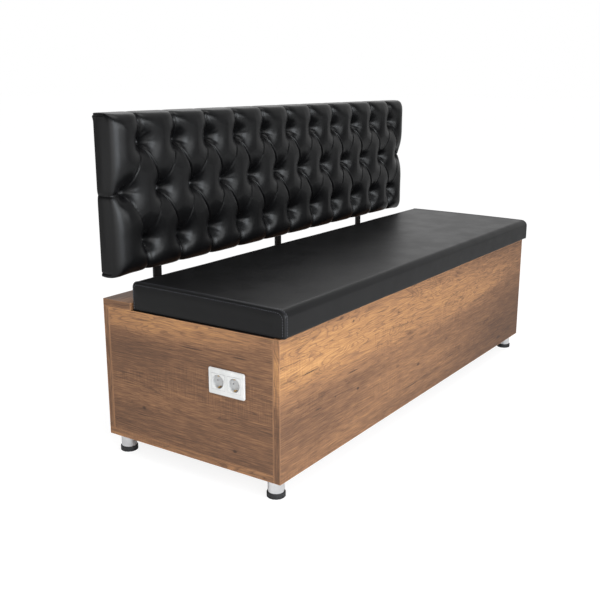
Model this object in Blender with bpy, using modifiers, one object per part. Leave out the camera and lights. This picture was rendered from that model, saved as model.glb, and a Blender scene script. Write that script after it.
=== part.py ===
"""Storage bench: a laminated chest with a hinged padded lid, a tufted backrest on three flat
bars, four levelling legs and a double socket in its left end. Metres, +Z up, front towards -Y.
The origin is on the floor, in the middle of the overall outline."""

import math

import bmesh
import bpy
import numpy as np
from mathutils import Matrix, Vector

# Chest
BOX_LENGTH = 1.500
BOX_DEPTH = 0.552
BOX_HEIGHT = 0.350
BOARD = 0.018
BOARD_EDGE = 0.0006
STRIP_DEPTH = 0.096
FIT = 0.0003

# Seat lid
SEAT_LEFT_INSET = 0.005
SEAT_RIGHT_OVERHANG = 0.018
SEAT_FRONT_OVERHANG = 0.008
SEAT_REAR_GAP = 0.006
SEAT_FOAM = 0.053
SEAT_FALL = 0.007
SEAT_CROWN = 0.003
SEAT_EDGE_RADIUS = 0.014
SEAT_CORNER_RADIUS = 0.010
SEAT_DRAW_IN = 0.002
SEAT_WRAP = 0.003
SEAT_GRID = (0.25, 0.5, 0.75, 1.0)
LID_BOARD = 0.018
LID_REST_GAP = 0.0025
BUMPER_RADIUS = 0.005
BUMPER_FROM_END = 0.100

# Lid hinges
HINGE_LENGTH = 0.076
HINGE_FROM_END = 0.220
LEAF_HEIGHT = 0.012
LEAF_THICKNESS = 0.0012
KNUCKLE_RADIUS = 0.0025
KNUCKLE_GAP = 0.0006
PIN_RADIUS = 0.0012

# Backrest
BACK_END_INSET = 0.000
BACK_HEIGHT = 0.400
BACK_ABOVE_BOX = 0.080
BACK_THICKNESS = 0.073
BACK_EDGE_THICKNESS = 0.040
BACK_EDGE_RADIUS = 0.036
BACK_WRAP = 0.004
BACK_BOARD = 0.015
LINING = 0.001
BUTTON_PITCH = 0.130
BUTTON_FROM_END = 0.035
ROW_PITCH = 0.130
BUTTON_DEPTH = 0.032
PLEAT_DEPTH = 0.013
BUTTON_REACH = 0.030
PLEAT_NOTCH = 0.003
PLEAT_GRID = 3
BACK_END_GRID = (0.3, 0.0)

# Bars that carry the backrest
BAR_WIDTH = 0.030
BAR_THICKNESS = 0.006
BAR_FROM_LEFT_END = 0.205
BAR_RIGHT_OF_MIDDLE = 0.020
BAR_FROM_RIGHT_END = 0.220
BAR_ABOVE_BOX_UNDERSIDE = 0.060
BAR_BELOW_BACK_TOP = 0.100
SCREW_FROM_BAR_END = 0.035
SCREW_FROM_JOINT = 0.060
SCREW_RADIUS = 0.003
SCREW_HEAD_RADIUS = 0.006
SCREW_HEAD_HEIGHT = 0.003
SCREW_HEAD_FLAT = 0.0036
SCREW_GRIP = 0.010

# Levelling legs
FOOT_HEIGHT = 0.048
LEG_FROM_END = 0.032
LEG_FROM_SIDE = 0.035
TUBE_RADIUS = 0.020
TUBE_WALL = 0.0015
TUBE_TOP = 0.003
STUD_RADIUS = 0.004
STUD_LENGTH = 0.014
BUSH_HEIGHT = 0.010
STEM_RADIUS = 0.004
STEM_SOCKET = 0.008
STEM_SPARE = 0.004
FOOT_TRAVEL = 0.010
BASE_RADIUS = 0.0228
BASE_HEIGHT = 0.013
BASE_CHAMFER = 0.001
BASE_NOTCHES = 14
NOTCH_WIDTH = 0.004
NOTCH_DEPTH = 0.0016
NOTCH_HEIGHT = 0.007

# Double socket in the left end
SOCKET_FROM_FRONT = 0.1495
SOCKET_ABOVE_UNDERSIDE = 0.2205
SOCKET_FRAME_WIDTH = 0.1075
SOCKET_FRAME_HEIGHT = 0.065
SOCKET_FRAME_THICKNESS = 0.006
SOCKET_FRAME_CORNER = 0.0045
SOCKET_FRAME_EDGE = 0.002
MODULE_SIDE = 0.040
MODULE_PITCH = 0.0475
MODULE_DEPTH = 0.028
MODULE_PROUD = 0.0005
RECESS_RADIUS = 0.017
RECESS_DEPTH = 0.0100
PIN_HOLE_RADIUS = 0.0024
PIN_HOLE_PITCH = 0.017
PIN_HOLE_DEPTH = 0.008
CLIP_WIDTH = 0.0045
CLIP_THICKNESS = 0.0014
CLIP_FROM_WALL = 0.0030
CLIP_REACH = 0.008
BACK_BOX_WALL = 0.0015
BACK_BOX_MARGIN = 0.002
BACK_BOX_DEPTH = 0.048
BACK_BOX_SETBACK = 0.0005
CABLE_HOLE_RADIUS = 0.010

# Facets of round pieces, the share of an edge's rolled width at each grid line, and the
# angle above which an edge stays sharp
FINE = 32
COARSE = 20
CORNER_FACETS = 4
ROUND_PROFILE = 0.5
ROLL_GRID = (0.45, 0.12, 0.0)
SHARP_ANGLE = math.radians(40)

# Places that follow from the sizes above
SOCKET_PROUD = FIT + SOCKET_FRAME_THICKNESS + MODULE_PROUD
REACH_RIGHT = BOX_LENGTH + SEAT_RIGHT_OVERHANG
BOX_LEFT = SOCKET_PROUD - (SOCKET_PROUD + REACH_RIGHT) / 2
BOX_RIGHT = BOX_LEFT + BOX_LENGTH
REACH_REAR = FIT + BAR_THICKNESS + FIT + SCREW_HEAD_HEIGHT
BOX_FRONT = SEAT_FRONT_OVERHANG - (SEAT_FRONT_OVERHANG + BOX_DEPTH + REACH_REAR) / 2
BOX_BACK = BOX_FRONT + BOX_DEPTH
BOX_BOTTOM = FOOT_HEIGHT
BOX_TOP = BOX_BOTTOM + BOX_HEIGHT
BOX_MIDDLE = (BOX_LEFT + BOX_RIGHT) / 2
INNER_FRONT = BOX_FRONT + BOARD + FIT
INNER_BACK = BOX_BACK - BOARD - FIT
INNER_FLOOR = BOX_BOTTOM + BOARD + FIT
STRIP_FRONT = BOX_BACK - STRIP_DEPTH
STRIP_TOP = BOX_TOP + FIT + BOARD
SEAT_LEFT = BOX_LEFT + SEAT_LEFT_INSET
SEAT_RIGHT = BOX_RIGHT + SEAT_RIGHT_OVERHANG
SEAT_FRONT = BOX_FRONT - SEAT_FRONT_OVERHANG
SEAT_REAR = STRIP_FRONT - SEAT_REAR_GAP
SEAT_BOTTOM = BOX_TOP + LID_REST_GAP
HINGE_Y = STRIP_FRONT - SEAT_REAR_GAP / 2
HINGE_Z = STRIP_TOP
BACK_BOTTOM = BOX_TOP + BACK_ABOVE_BOX
BACK_TOP = BACK_BOTTOM + BACK_HEIGHT
BACK_LENGTH = BOX_LENGTH - 2 * BACK_END_INSET
LONG_ROW_BUTTONS = round((BACK_LENGTH - 2 * BUTTON_FROM_END) / BUTTON_PITCH) + 1
BAR_BOTTOM = BOX_BOTTOM + BAR_ABOVE_BOX_UNDERSIDE
BAR_TOP = BACK_TOP - BAR_BELOW_BACK_TOP
BAR_FRONT = BOX_BACK + FIT
TUBE_BOTTOM = BASE_HEIGHT + FIT
SOCKET_Y = BOX_FRONT + SOCKET_FROM_FRONT
SOCKET_Z = BOX_BOTTOM + SOCKET_ABOVE_UNDERSIDE
MODULE_FACE = BOX_LEFT - SOCKET_PROUD
MODULE_REAR = MODULE_FACE + MODULE_DEPTH
MODULE_PLACES = {"front": SOCKET_Y - MODULE_PITCH / 2, "rear": SOCKET_Y + MODULE_PITCH / 2}
HALF_WINDOW = MODULE_SIDE / 2 + FIT
CLIP_FROM_CENTRE = RECESS_RADIUS - CLIP_FROM_WALL
BACK_BOX_HEIGHT = MODULE_SIDE + 2 * (BACK_BOX_MARGIN + BACK_BOX_WALL)
BACK_BOX_WIDTH = BACK_BOX_HEIGHT + MODULE_PITCH

LEG_PLACES = {
    "front_left": (BOX_LEFT + LEG_FROM_END, BOX_FRONT + LEG_FROM_SIDE),
    "front_right": (BOX_RIGHT - LEG_FROM_END, BOX_FRONT + LEG_FROM_SIDE),
    "rear_left": (BOX_LEFT + LEG_FROM_END, BOX_BACK - LEG_FROM_SIDE),
    "rear_right": (BOX_RIGHT - LEG_FROM_END, BOX_BACK - LEG_FROM_SIDE),
}
BAR_PLACES = {
    "left": BOX_LEFT + BAR_FROM_LEFT_END,
    "centre": BOX_MIDDLE + BAR_RIGHT_OF_MIDDLE,
    "right": BOX_RIGHT - BAR_FROM_RIGHT_END,
}
HINGE_PLACES = {
    "left": BOX_LEFT + HINGE_FROM_END,
    "centre": BOX_MIDDLE,
    "right": BOX_RIGHT - HINGE_FROM_END,
}
SCREW_HEIGHTS = (
    BAR_BOTTOM + SCREW_FROM_BAR_END,
    BOX_TOP - SCREW_FROM_JOINT,
    BACK_BOTTOM + SCREW_FROM_JOINT,
    BAR_TOP - SCREW_FROM_BAR_END,
)

for old in list(bpy.data.objects):
    bpy.data.objects.remove(old)

PARTS = bpy.data.collections.new("storage_bench")
CUTTERS = bpy.data.collections.new("cutters")
bpy.context.scene.collection.children.link(PARTS)
bpy.context.scene.collection.children.link(CUTTERS)


def principled(name, colour, roughness, metallic=0.0):
    """A plain finish."""
    finish = bpy.data.materials.new(name)
    finish.use_nodes = True
    shader = finish.node_tree.nodes["Principled BSDF"]
    shader.inputs["Base Color"].default_value = (*colour, 1.0)
    shader.inputs["Roughness"].default_value = roughness
    shader.inputs["Metallic"].default_value = metallic
    finish.diffuse_color = (*colour, 1.0)
    return finish


LAMINATE = principled("brown_oak_laminate", (0.23, 0.115, 0.055), 0.5)
PLYWOOD = principled("plywood", (0.55, 0.40, 0.24), 0.7)
LEATHERETTE = principled("black_leatherette", (0.012, 0.012, 0.014), 0.4)
CLOTH = principled("black_lining_cloth", (0.02, 0.02, 0.02), 0.9)
CHROME = principled("chrome", (0.82, 0.83, 0.85), 0.08, 1.0)
STEEL = principled("zinc_plated_steel", (0.55, 0.55, 0.56), 0.3, 1.0)
BLACK_STEEL = principled("black_painted_steel", (0.01, 0.01, 0.01), 0.45)
BLACK_PLASTIC = principled("black_plastic", (0.02, 0.02, 0.022), 0.5)
WHITE_PLASTIC = principled("white_plastic", (0.83, 0.83, 0.82), 0.3)
GREY_PLASTIC = principled("grey_plastic", (0.30, 0.30, 0.31), 0.5)
BRASS = principled("brass", (0.75, 0.55, 0.22), 0.25, 1.0)
RUBBER = principled("clear_rubber", (0.35, 0.35, 0.34), 0.6)


def pivot(name, place):
    """An empty on a joint axis, which carries the pieces that move about it."""
    empty = bpy.data.objects.new(name, None)
    empty.location = place
    PARTS.objects.link(empty)
    return empty


def add_part(name, mesh, place, finish, carrier=None):
    """Puts a mesh in the model at a world place, under its carrier if it has one."""
    part = bpy.data.objects.new(name, mesh)
    part.location = Vector(place)
    if carrier:
        part.parent = carrier
        part.location = part.location - carrier.location
    mesh.materials.append(finish)
    PARTS.objects.link(part)
    return part


def add_cutter(name, mesh, place):
    """A shape that is cut out of a part, kept out of the model."""
    cutter = bpy.data.objects.new(name, mesh)
    cutter.location = place
    cutter.hide_render = True
    cutter.display_type = "WIRE"
    CUTTERS.objects.link(cutter)
    return cutter


def boolean(part, tool, operation):
    """Cuts a tool from a part, or joins it on."""
    step = part.modifiers.new(tool.name, "BOOLEAN")
    step.operation = operation
    step.object = tool


def round_edges(part, width):
    """Breaks the sharp edges of a part."""
    bevel = part.modifiers.new("edges", "BEVEL")
    bevel.width = width
    bevel.segments = 1
    bevel.limit_method = "ANGLE"


def finish_mesh(name, shape):
    """Turns a worked shape into a mesh."""
    mesh = bpy.data.meshes.new(name)
    shape.to_mesh(mesh)
    shape.free()
    return mesh


def add_box(shape, low, high):
    """Adds a box between two corners to a shape."""
    low, high = Vector(low), Vector(high)
    size = Matrix.Diagonal((*(high - low), 1.0))
    bmesh.ops.create_cube(shape, size=1.0, matrix=Matrix.Translation((low + high) / 2) @ size)


def add_rod(shape, centre, axis, radius, length, facets):
    """Adds a cylinder of a given axis to a shape."""
    turn = Vector((0, 0, 1)).rotation_difference(Vector(axis)).to_matrix().to_4x4()
    bmesh.ops.create_cone(shape, cap_ends=True, segments=facets, radius1=radius, radius2=radius,
                          depth=length, matrix=Matrix.Translation(centre) @ turn)


def box_mesh(name, size):
    """A box about its own middle."""
    shape = bmesh.new()
    half = Vector(size) / 2
    add_box(shape, -half, half)
    return finish_mesh(name, shape)


def rod_mesh(name, axis, radius, length, facets=COARSE):
    """A cylinder about its own middle."""
    shape = bmesh.new()
    add_rod(shape, (0, 0, 0), axis, radius, length, facets)
    return finish_mesh(name, shape)


def panel(name, low, high, finish, carrier=None):
    """A board between two corners, with broken edges."""
    low, high = Vector(low), Vector(high)
    board = add_part(name, box_mesh(name, high - low), (low + high) / 2, finish, carrier)
    round_edges(board, BOARD_EDGE)
    return board


def cut_hole(part, name, place, axis, radius, length):
    """Bores a round hole, centred on a place."""
    boolean(part, add_cutter(name, rod_mesh(name, axis, radius, length), place), "DIFFERENCE")


def cut_box(part, name, low, high):
    """Cuts a box-shaped hole."""
    low, high = Vector(low), Vector(high)
    cutter = add_cutter(name, box_mesh(name, high - low), (low + high) / 2)
    boolean(part, cutter, "DIFFERENCE")


def turned(name, profile, place, finish, carrier=None, closed=False, facets=FINE):
    """A turned piece: a profile of radii and heights, down its outer side, swept about Z."""
    mesh = bpy.data.meshes.new(name)
    count = len(profile)
    edges = [(i, i + 1) for i in range(count - 1)]
    if closed:
        edges.append((count - 1, 0))
    mesh.from_pydata([(radius, 0.0, height) for radius, height in profile], edges, [])
    piece = add_part(name, mesh, place, finish, carrier)
    sweep = piece.modifiers.new("turn", "SCREW")
    sweep.axis = "Z"
    sweep.steps = facets
    sweep.render_steps = facets
    sweep.use_merge_vertices = True
    sweep.merge_threshold = 0.00001
    sweep.use_smooth_shade = True
    return piece


def soft_block(name, us, vs, face, skirt):
    """A stuffed form: a grid whose height is face(u, v), with sides drawn down to a flat back.
    skirt lists the height of each ring down the sides and how far it is drawn in."""
    shape = bmesh.new()
    last_u, last_v = len(us) - 1, len(vs) - 1
    bmesh.ops.create_grid(shape, x_segments=last_u, y_segments=last_v, size=1.0)
    for vert in shape.verts:
        u = us[round((vert.co.x + 1) / 2 * last_u)]
        v = vs[round((vert.co.y + 1) / 2 * last_v)]
        vert.co = face(u, v)
    follow_valleys(shape)
    half_u, half_v = us[-1], vs[-1]
    for height, draw_in in skirt:
        rim = [edge for edge in shape.edges if edge.is_boundary]
        grown = bmesh.ops.extrude_edge_only(shape, edges=rim)["geom"]
        for vert in grown:
            if isinstance(vert, bmesh.types.BMVert):
                vert.co.x *= (half_u - draw_in) / half_u
                vert.co.y *= (half_v - draw_in) / half_v
                vert.co.z = height
    rim = [edge for edge in shape.edges if edge.is_boundary]
    bmesh.ops.holes_fill(shape, edges=rim, sides=0)
    bmesh.ops.recalc_face_normals(shape, faces=shape.faces)
    for side in shape.faces:
        side.smooth = True
    return finish_mesh(name, shape)


def follow_valleys(shape):
    """Splits each square of a grid along its lower diagonal, so that pleats stay sharp."""
    for square in list(shape.faces):
        a, b, c, d = square.verts
        if a.co.z + c.co.z < b.co.z + d.co.z:
            bmesh.utils.face_split(square, a, c)
        else:
            bmesh.utils.face_split(square, b, d)


def edge_roll(distance, radius):
    """How far a surface has rolled off at a distance from its edge."""
    short = max(radius - distance, 0.0)
    return radius - math.sqrt(radius * radius - short * short)


def mirrored(steps):
    """Grid lines on both sides of the middle."""
    return [-step for step in reversed(steps)] + [0.0] + list(steps)


def build_chest():
    """Boards of the chest."""
    panel("front_panel", (BOX_LEFT, BOX_FRONT, BOX_BOTTOM),
          (BOX_RIGHT, BOX_FRONT + BOARD, BOX_TOP), LAMINATE)
    back = panel("back_panel", (BOX_LEFT, BOX_BACK - BOARD, INNER_FLOOR),
                 (BOX_RIGHT, BOX_BACK, BOX_TOP), LAMINATE)
    bore_for_screws(back, SCREW_HEIGHTS[:2])
    bottom = panel("bottom_panel", (BOX_LEFT, INNER_FRONT, BOX_BOTTOM),
                   (BOX_RIGHT, BOX_BACK, BOX_BOTTOM + BOARD), LAMINATE)
    for corner, (x, y) in LEG_PLACES.items():
        cut_hole(bottom, f"stud_hole_{corner}", (x, y, BOX_BOTTOM), (0, 0, 1),
                 STUD_RADIUS + FIT, 2 * (STUD_LENGTH + FIT))
    left_end = panel("left_end_panel", (BOX_LEFT, INNER_FRONT, INNER_FLOOR),
                     (BOX_LEFT + BOARD, INNER_BACK, BOX_TOP), LAMINATE)
    half_width = BACK_BOX_WIDTH / 2 + FIT
    half_height = BACK_BOX_HEIGHT / 2 + FIT
    cut_box(left_end, "socket_cut_out",
            (BOX_LEFT - BOARD, SOCKET_Y - half_width, SOCKET_Z - half_height),
            (BOX_LEFT + 2 * BOARD, SOCKET_Y + half_width, SOCKET_Z + half_height))
    panel("right_end_panel", (BOX_RIGHT - BOARD, INNER_FRONT, INNER_FLOOR),
          (BOX_RIGHT, INNER_BACK, BOX_TOP), LAMINATE)
    panel("centre_divider", (BOX_MIDDLE - BOARD / 2, INNER_FRONT, INNER_FLOOR),
          (BOX_MIDDLE + BOARD / 2, INNER_BACK, BOX_TOP), LAMINATE)
    panel("rear_top_strip", (BOX_LEFT, STRIP_FRONT, BOX_TOP + FIT),
          (BOX_RIGHT, BOX_BACK, STRIP_TOP), LAMINATE)
    for side, x in (("left", BOX_LEFT + BUMPER_FROM_END), ("right", BOX_RIGHT - BUMPER_FROM_END)):
        turned(f"lid_bumper_{side}",
               [(0, LID_REST_GAP - FIT), (BUMPER_RADIUS, LID_REST_GAP - FIT),
                (BUMPER_RADIUS, FIT), (0, FIT)],
               (x, BOX_FRONT + BOARD / 2, BOX_TOP), RUBBER, facets=COARSE)


def bore_for_screws(part, heights):
    """Bores a part behind each bar for the screws at some heights."""
    for side, x in BAR_PLACES.items():
        for number, height in enumerate(heights):
            cut_hole(part, f"{part.name}_{side}_bore_{number}", (x, BAR_FRONT, height), (0, 1, 0),
                     SCREW_RADIUS + FIT, 2 * (SCREW_GRIP + 2 * FIT))


def seat_lines(half):
    """Grid lines over half of the seat: even inside, closer where the edge rolls off."""
    inner = half - SEAT_EDGE_RADIUS
    even = [inner * part for part in SEAT_GRID]
    return even + [half - SEAT_EDGE_RADIUS * part for part in ROLL_GRID]


def build_seat(lid):
    """The lid board and the cushion that wraps round it."""
    half_u, half_v = (SEAT_RIGHT - SEAT_LEFT) / 2, (SEAT_REAR - SEAT_FRONT) / 2
    height = LID_BOARD + SEAT_FOAM
    middle = ((SEAT_LEFT + SEAT_RIGHT) / 2, (SEAT_FRONT + SEAT_REAR) / 2, SEAT_BOTTOM)

    def face(u, v):
        to_edge = min(half_u - abs(u), half_v - abs(v))
        dome = SEAT_CROWN * (1 - (u / half_u) ** 2) * (1 - (v / half_v) ** 2)
        fall = SEAT_FALL * (half_v - v) / (2 * half_v)
        x, y = round_corner(u, v, half_u, half_v)
        return Vector((x, y, height + dome - fall - edge_roll(to_edge, SEAT_EDGE_RADIUS)))

    us, vs = mirrored(seat_lines(half_u)), mirrored(seat_lines(half_v))
    skirt = ((LID_BOARD + SEAT_DRAW_IN, 0.0), (SEAT_DRAW_IN, 0.0), (0.0, SEAT_DRAW_IN))
    mesh = soft_block("seat_cushion", us, vs, face, skirt)
    cushion = add_part("seat_cushion", mesh, middle, LEATHERETTE, lid)
    low = Vector((SEAT_LEFT + SEAT_WRAP, SEAT_FRONT + SEAT_WRAP, SEAT_BOTTOM))
    high = Vector((SEAT_RIGHT - SEAT_WRAP, SEAT_REAR - SEAT_WRAP, SEAT_BOTTOM + LID_BOARD))
    panel("lid_board", low, high, PLYWOOD, lid)
    room = Vector((FIT, FIT, FIT))
    cut_box(cushion, "lid_board_room", (low.x - FIT, low.y - FIT, low.z - LID_BOARD), high + room)


def round_corner(u, v, half_u, half_v):
    """Pulls the points of a corner in onto its rounding, seen from above."""
    over_u = abs(u) - (half_u - SEAT_CORNER_RADIUS)
    over_v = abs(v) - (half_v - SEAT_CORNER_RADIUS)
    reach = math.hypot(over_u, over_v)
    if over_u <= 0 or over_v <= 0 or reach <= SEAT_CORNER_RADIUS:
        return u, v
    pull = SEAT_CORNER_RADIUS / reach
    x = half_u - SEAT_CORNER_RADIUS + over_u * pull
    y = half_v - SEAT_CORNER_RADIUS + over_v * pull
    return math.copysign(x, u), math.copysign(y, v)


def hinge_leaf(name, x, side, knuckles, carrier):
    """One leaf of a butt hinge. side is +1 on the strip and -1 on the lid. knuckles lists the
    stretches of the pin line that this leaf rolls round, from the hinge's middle."""
    half = HINGE_LENGTH / 2
    inner = side * (SEAT_REAR_GAP / 2 - FIT - LEAF_THICKNESS)
    outer = side * (SEAT_REAR_GAP / 2 - FIT)
    near, far = min(inner, outer), max(inner, outer)
    plate_top = -KNUCKLE_RADIUS - KNUCKLE_GAP
    shape = bmesh.new()
    add_box(shape, (-half, near, plate_top - LEAF_HEIGHT), (half, far, plate_top))
    leaf = add_part(name, finish_mesh(name, shape), (x, HINGE_Y, HINGE_Z), STEEL, carrier)
    for number, (start, end) in enumerate(knuckles):
        neck = bmesh.new()
        add_box(neck, (start, near, plate_top - KNUCKLE_GAP), (end, far, 0.0))
        tool = add_cutter(f"{name}_neck_{number}", finish_mesh(name, neck), (x, HINGE_Y, HINGE_Z))
        boolean(leaf, tool, "UNION")
        roll = rod_mesh(name, (1, 0, 0), KNUCKLE_RADIUS, end - start, COARSE)
        tool = add_cutter(f"{name}_knuckle_{number}", roll, (x + (start + end) / 2, HINGE_Y, HINGE_Z))
        boolean(leaf, tool, "UNION")
    cut_hole(leaf, f"{name}_bore", (x, HINGE_Y, HINGE_Z), (1, 0, 0),
             PIN_RADIUS + FIT, 2 * HINGE_LENGTH)


def build_hinges(lid):
    """Three butt hinges in the gap behind the seat."""
    third = HINGE_LENGTH / 3
    half = HINGE_LENGTH / 2
    gap = KNUCKLE_GAP / 2
    outer = ((-half, -third / 2 - gap), (third / 2 + gap, half))
    middle = ((-third / 2 + gap, third / 2 - gap),)
    for place, x in HINGE_PLACES.items():
        hinge_leaf(f"hinge_{place}_strip_leaf", x, 1, outer, None)
        hinge_leaf(f"hinge_{place}_lid_leaf", x, -1, middle, lid)
        pin = add_part(f"hinge_{place}_pin", rod_mesh("pin", (1, 0, 0), PIN_RADIUS, HINGE_LENGTH),
                       (x, HINGE_Y, HINGE_Z), STEEL)
        pin.data.shade_smooth()
        pin.data.set_sharp_from_angle(angle=SHARP_ANGLE)


def button_rows():
    """Button places on the backrest's face: a long row between two that are one shorter."""
    rows = []
    for level, count in ((1, LONG_ROW_BUTTONS - 1), (0, LONG_ROW_BUTTONS), (-1, LONG_ROW_BUTTONS - 1)):
        first = -(count - 1) / 2 * BUTTON_PITCH
        rows.append([(first + i * BUTTON_PITCH, level * ROW_PITCH) for i in range(count)])
    return rows


def pleats(half_u, half_v):
    """Pleats between staggered buttons, up and down from the short rows, and out at the ends."""
    upper, middle, lower = button_rows()
    lines = []
    for short, rim in ((upper, half_v), (lower, -half_v)):
        for i, button in enumerate(short):
            lines.append((button, middle[i]))
            lines.append((button, middle[i + 1]))
            lines.append((button, (button[0], rim)))
    lines.append((middle[0], (-half_u, 0.0)))
    lines.append((middle[-1], (half_u, 0.0)))
    return np.array(lines)


def build_backrest():
    """The board, its lining and the tufted pad that wraps round the board."""
    half_u, half_v = BACK_LENGTH / 2, BACK_HEIGHT / 2
    lines = pleats(half_u, half_v)
    starts, runs = lines[:, 0], lines[:, 1] - lines[:, 0]
    buttons = np.array(sum(button_rows(), []))
    diamond = (BUTTON_PITCH / 2) * ROW_PITCH / math.hypot(BUTTON_PITCH / 2, ROW_PITCH)

    def face(u, v):
        here = np.array((u, v))
        along = np.clip(((here - starts) * runs).sum(1) / (runs * runs).sum(1), 0, 1)
        to_pleat = np.linalg.norm(starts + runs * along[:, None] - here, axis=1).min()
        to_button = np.linalg.norm(buttons - here, axis=1).min()
        hollow = 1 - math.sqrt(1 - (1 - min(to_pleat / diamond, 1.0)) ** 2)
        drawn = PLEAT_DEPTH + (BUTTON_DEPTH - PLEAT_DEPTH) * math.exp(-(to_button / BUTTON_REACH) ** 2)
        to_edge = min(half_u - abs(u), half_v - abs(v))
        rolled = edge_roll(to_edge, BACK_EDGE_RADIUS) / BACK_EDGE_RADIUS
        drop = (BACK_THICKNESS - BACK_EDGE_THICKNESS) * rolled
        notch = PLEAT_NOTCH * rolled * hollow ** 4
        x = u * (half_u - notch) / half_u
        y = v * (half_v - notch) / half_v
        return Vector((x, y, BACK_THICKNESS - drop - drawn * hollow * (1 - rolled / 2)))

    step = BUTTON_PITCH / 2 / PLEAT_GRID
    last_button = (LONG_ROW_BUTTONS - 1) / 2 * BUTTON_PITCH
    us = [step * i for i in range(1, round(last_button / step) + 1)]
    us += [half_u - (half_u - last_button) * part for part in BACK_END_GRID]
    vs = [ROW_PITCH / PLEAT_GRID * i for i in range(1, PLEAT_GRID + 1)]
    vs += [half_v - (half_v - ROW_PITCH) * part for part in ROLL_GRID]
    mesh = soft_block("backrest_pad", mirrored(us), mirrored(vs), face, ((0.0, 0.0),))
    middle_z = BACK_BOTTOM + half_v
    pad = add_part("backrest_pad", mesh, (BOX_MIDDLE, BOX_BACK, middle_z), LEATHERETTE)
    pad.rotation_euler = (math.radians(90), 0, 0)
    low = Vector((BOX_MIDDLE - half_u + BACK_WRAP, BOX_BACK - LINING, BACK_BOTTOM + BACK_WRAP))
    high = Vector((BOX_MIDDLE + half_u - BACK_WRAP, BOX_BACK, BACK_TOP - BACK_WRAP))
    lining = add_part("backrest_lining", box_mesh("lining", high - low), (low + high) / 2, CLOTH)
    board_front = low.y - FIT - BACK_BOARD
    board = panel("backrest_board", (low.x, board_front, low.z),
                  (high.x, low.y - FIT, high.z), PLYWOOD)
    for piece in (lining, board):
        bore_for_screws(piece, SCREW_HEIGHTS[2:])
    cut_box(pad, "backrest_board_room", (low.x - FIT, board_front - FIT, low.z - FIT),
            (high.x + FIT, BOX_BACK + BACK_BOARD, high.z + FIT))


def build_bars():
    """Three flat bars on the rear, screwed to the chest and to the backrest."""
    for side, x in BAR_PLACES.items():
        bar = panel(f"back_bar_{side}", (x - BAR_WIDTH / 2, BAR_FRONT, BAR_BOTTOM),
                    (x + BAR_WIDTH / 2, BAR_FRONT + BAR_THICKNESS, BAR_TOP), BLACK_STEEL)
        for number, height in enumerate(SCREW_HEIGHTS, start=1):
            cut_hole(bar, f"back_bar_{side}_hole_{number}", (x, BAR_FRONT, height), (0, 1, 0),
                     SCREW_RADIUS + FIT, 3 * BAR_THICKNESS)
            bar_screw(f"back_bar_{side}_screw_{number}", x, height)


def bar_screw(name, x, height):
    """A domed screw through a bar. Its profile starts at the crown of the head."""
    seat = FIT
    crown = seat + SCREW_HEAD_HEIGHT
    shoulder = seat + SCREW_HEAD_HEIGHT / 2
    tip = -BAR_THICKNESS - SCREW_GRIP
    profile = [(0, crown), (SCREW_HEAD_FLAT, crown), (SCREW_HEAD_RADIUS, shoulder),
               (SCREW_HEAD_RADIUS, seat), (SCREW_RADIUS, seat), (SCREW_RADIUS, tip), (0, tip)]
    screw = turned(name, profile, (x, BAR_FRONT + BAR_THICKNESS, height), BLACK_STEEL, facets=COARSE)
    screw.rotation_euler = (math.radians(-90), 0, 0)


def build_leg(corner, x, y):
    """A chromed tube under the chest, with a bush in its end and a foot that screws into it."""
    inner = TUBE_RADIUS - TUBE_WALL
    top = FOOT_HEIGHT - FIT
    roof = top - TUBE_TOP
    turned(f"leg_{corner}_tube",
           [(0, FOOT_HEIGHT + STUD_LENGTH), (STUD_RADIUS, FOOT_HEIGHT + STUD_LENGTH),
            (STUD_RADIUS, top), (TUBE_RADIUS, top), (TUBE_RADIUS, TUBE_BOTTOM),
            (inner, TUBE_BOTTOM), (inner, roof), (0, roof)],
           (x, y, 0), CHROME)
    bore = STEM_RADIUS + FIT
    bush_top = TUBE_BOTTOM + BUSH_HEIGHT
    turned(f"leg_{corner}_bush",
           [(inner - FIT, bush_top), (inner - FIT, TUBE_BOTTOM), (bore, TUBE_BOTTOM), (bore, bush_top)],
           (x, y, 0), BLACK_PLASTIC, closed=True, facets=COARSE)
    foot = pivot(f"foot_axis_{corner}", (x, y, 0))
    socket_floor = BASE_HEIGHT - STEM_SOCKET
    stem_top = bush_top + FOOT_TRAVEL + STEM_SPARE
    turned(f"leg_{corner}_stem",
           [(0, stem_top), (STEM_RADIUS, stem_top), (STEM_RADIUS, socket_floor + FIT),
            (0, socket_floor + FIT)],
           (x, y, 0), STEEL, foot, facets=COARSE)
    base = turned(f"leg_{corner}_base",
                  [(0, socket_floor), (bore, socket_floor), (bore, BASE_HEIGHT),
                   (BASE_RADIUS - BASE_CHAMFER, BASE_HEIGHT), (BASE_RADIUS, BASE_HEIGHT - BASE_CHAMFER),
                   (BASE_RADIUS, BASE_CHAMFER), (BASE_RADIUS - BASE_CHAMFER, 0), (0, 0)],
                  (x, y, 0), BLACK_PLASTIC, foot)
    notches = bmesh.new()
    for number in range(BASE_NOTCHES):
        turn = Matrix.Rotation(2 * math.pi * number / BASE_NOTCHES, 4, "Z")
        tooth = bmesh.new()
        add_box(tooth, (BASE_RADIUS - NOTCH_DEPTH, -NOTCH_WIDTH / 2, -NOTCH_HEIGHT),
                (BASE_RADIUS + NOTCH_DEPTH, NOTCH_WIDTH / 2, NOTCH_HEIGHT))
        tooth.transform(turn)
        gap = finish_mesh("notch", tooth)
        notches.from_mesh(gap)
        bpy.data.meshes.remove(gap)
    name = f"leg_{corner}_base_notches"
    boolean(base, add_cutter(name, finish_mesh(name, notches), (x, y, 0)), "DIFFERENCE")


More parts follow.
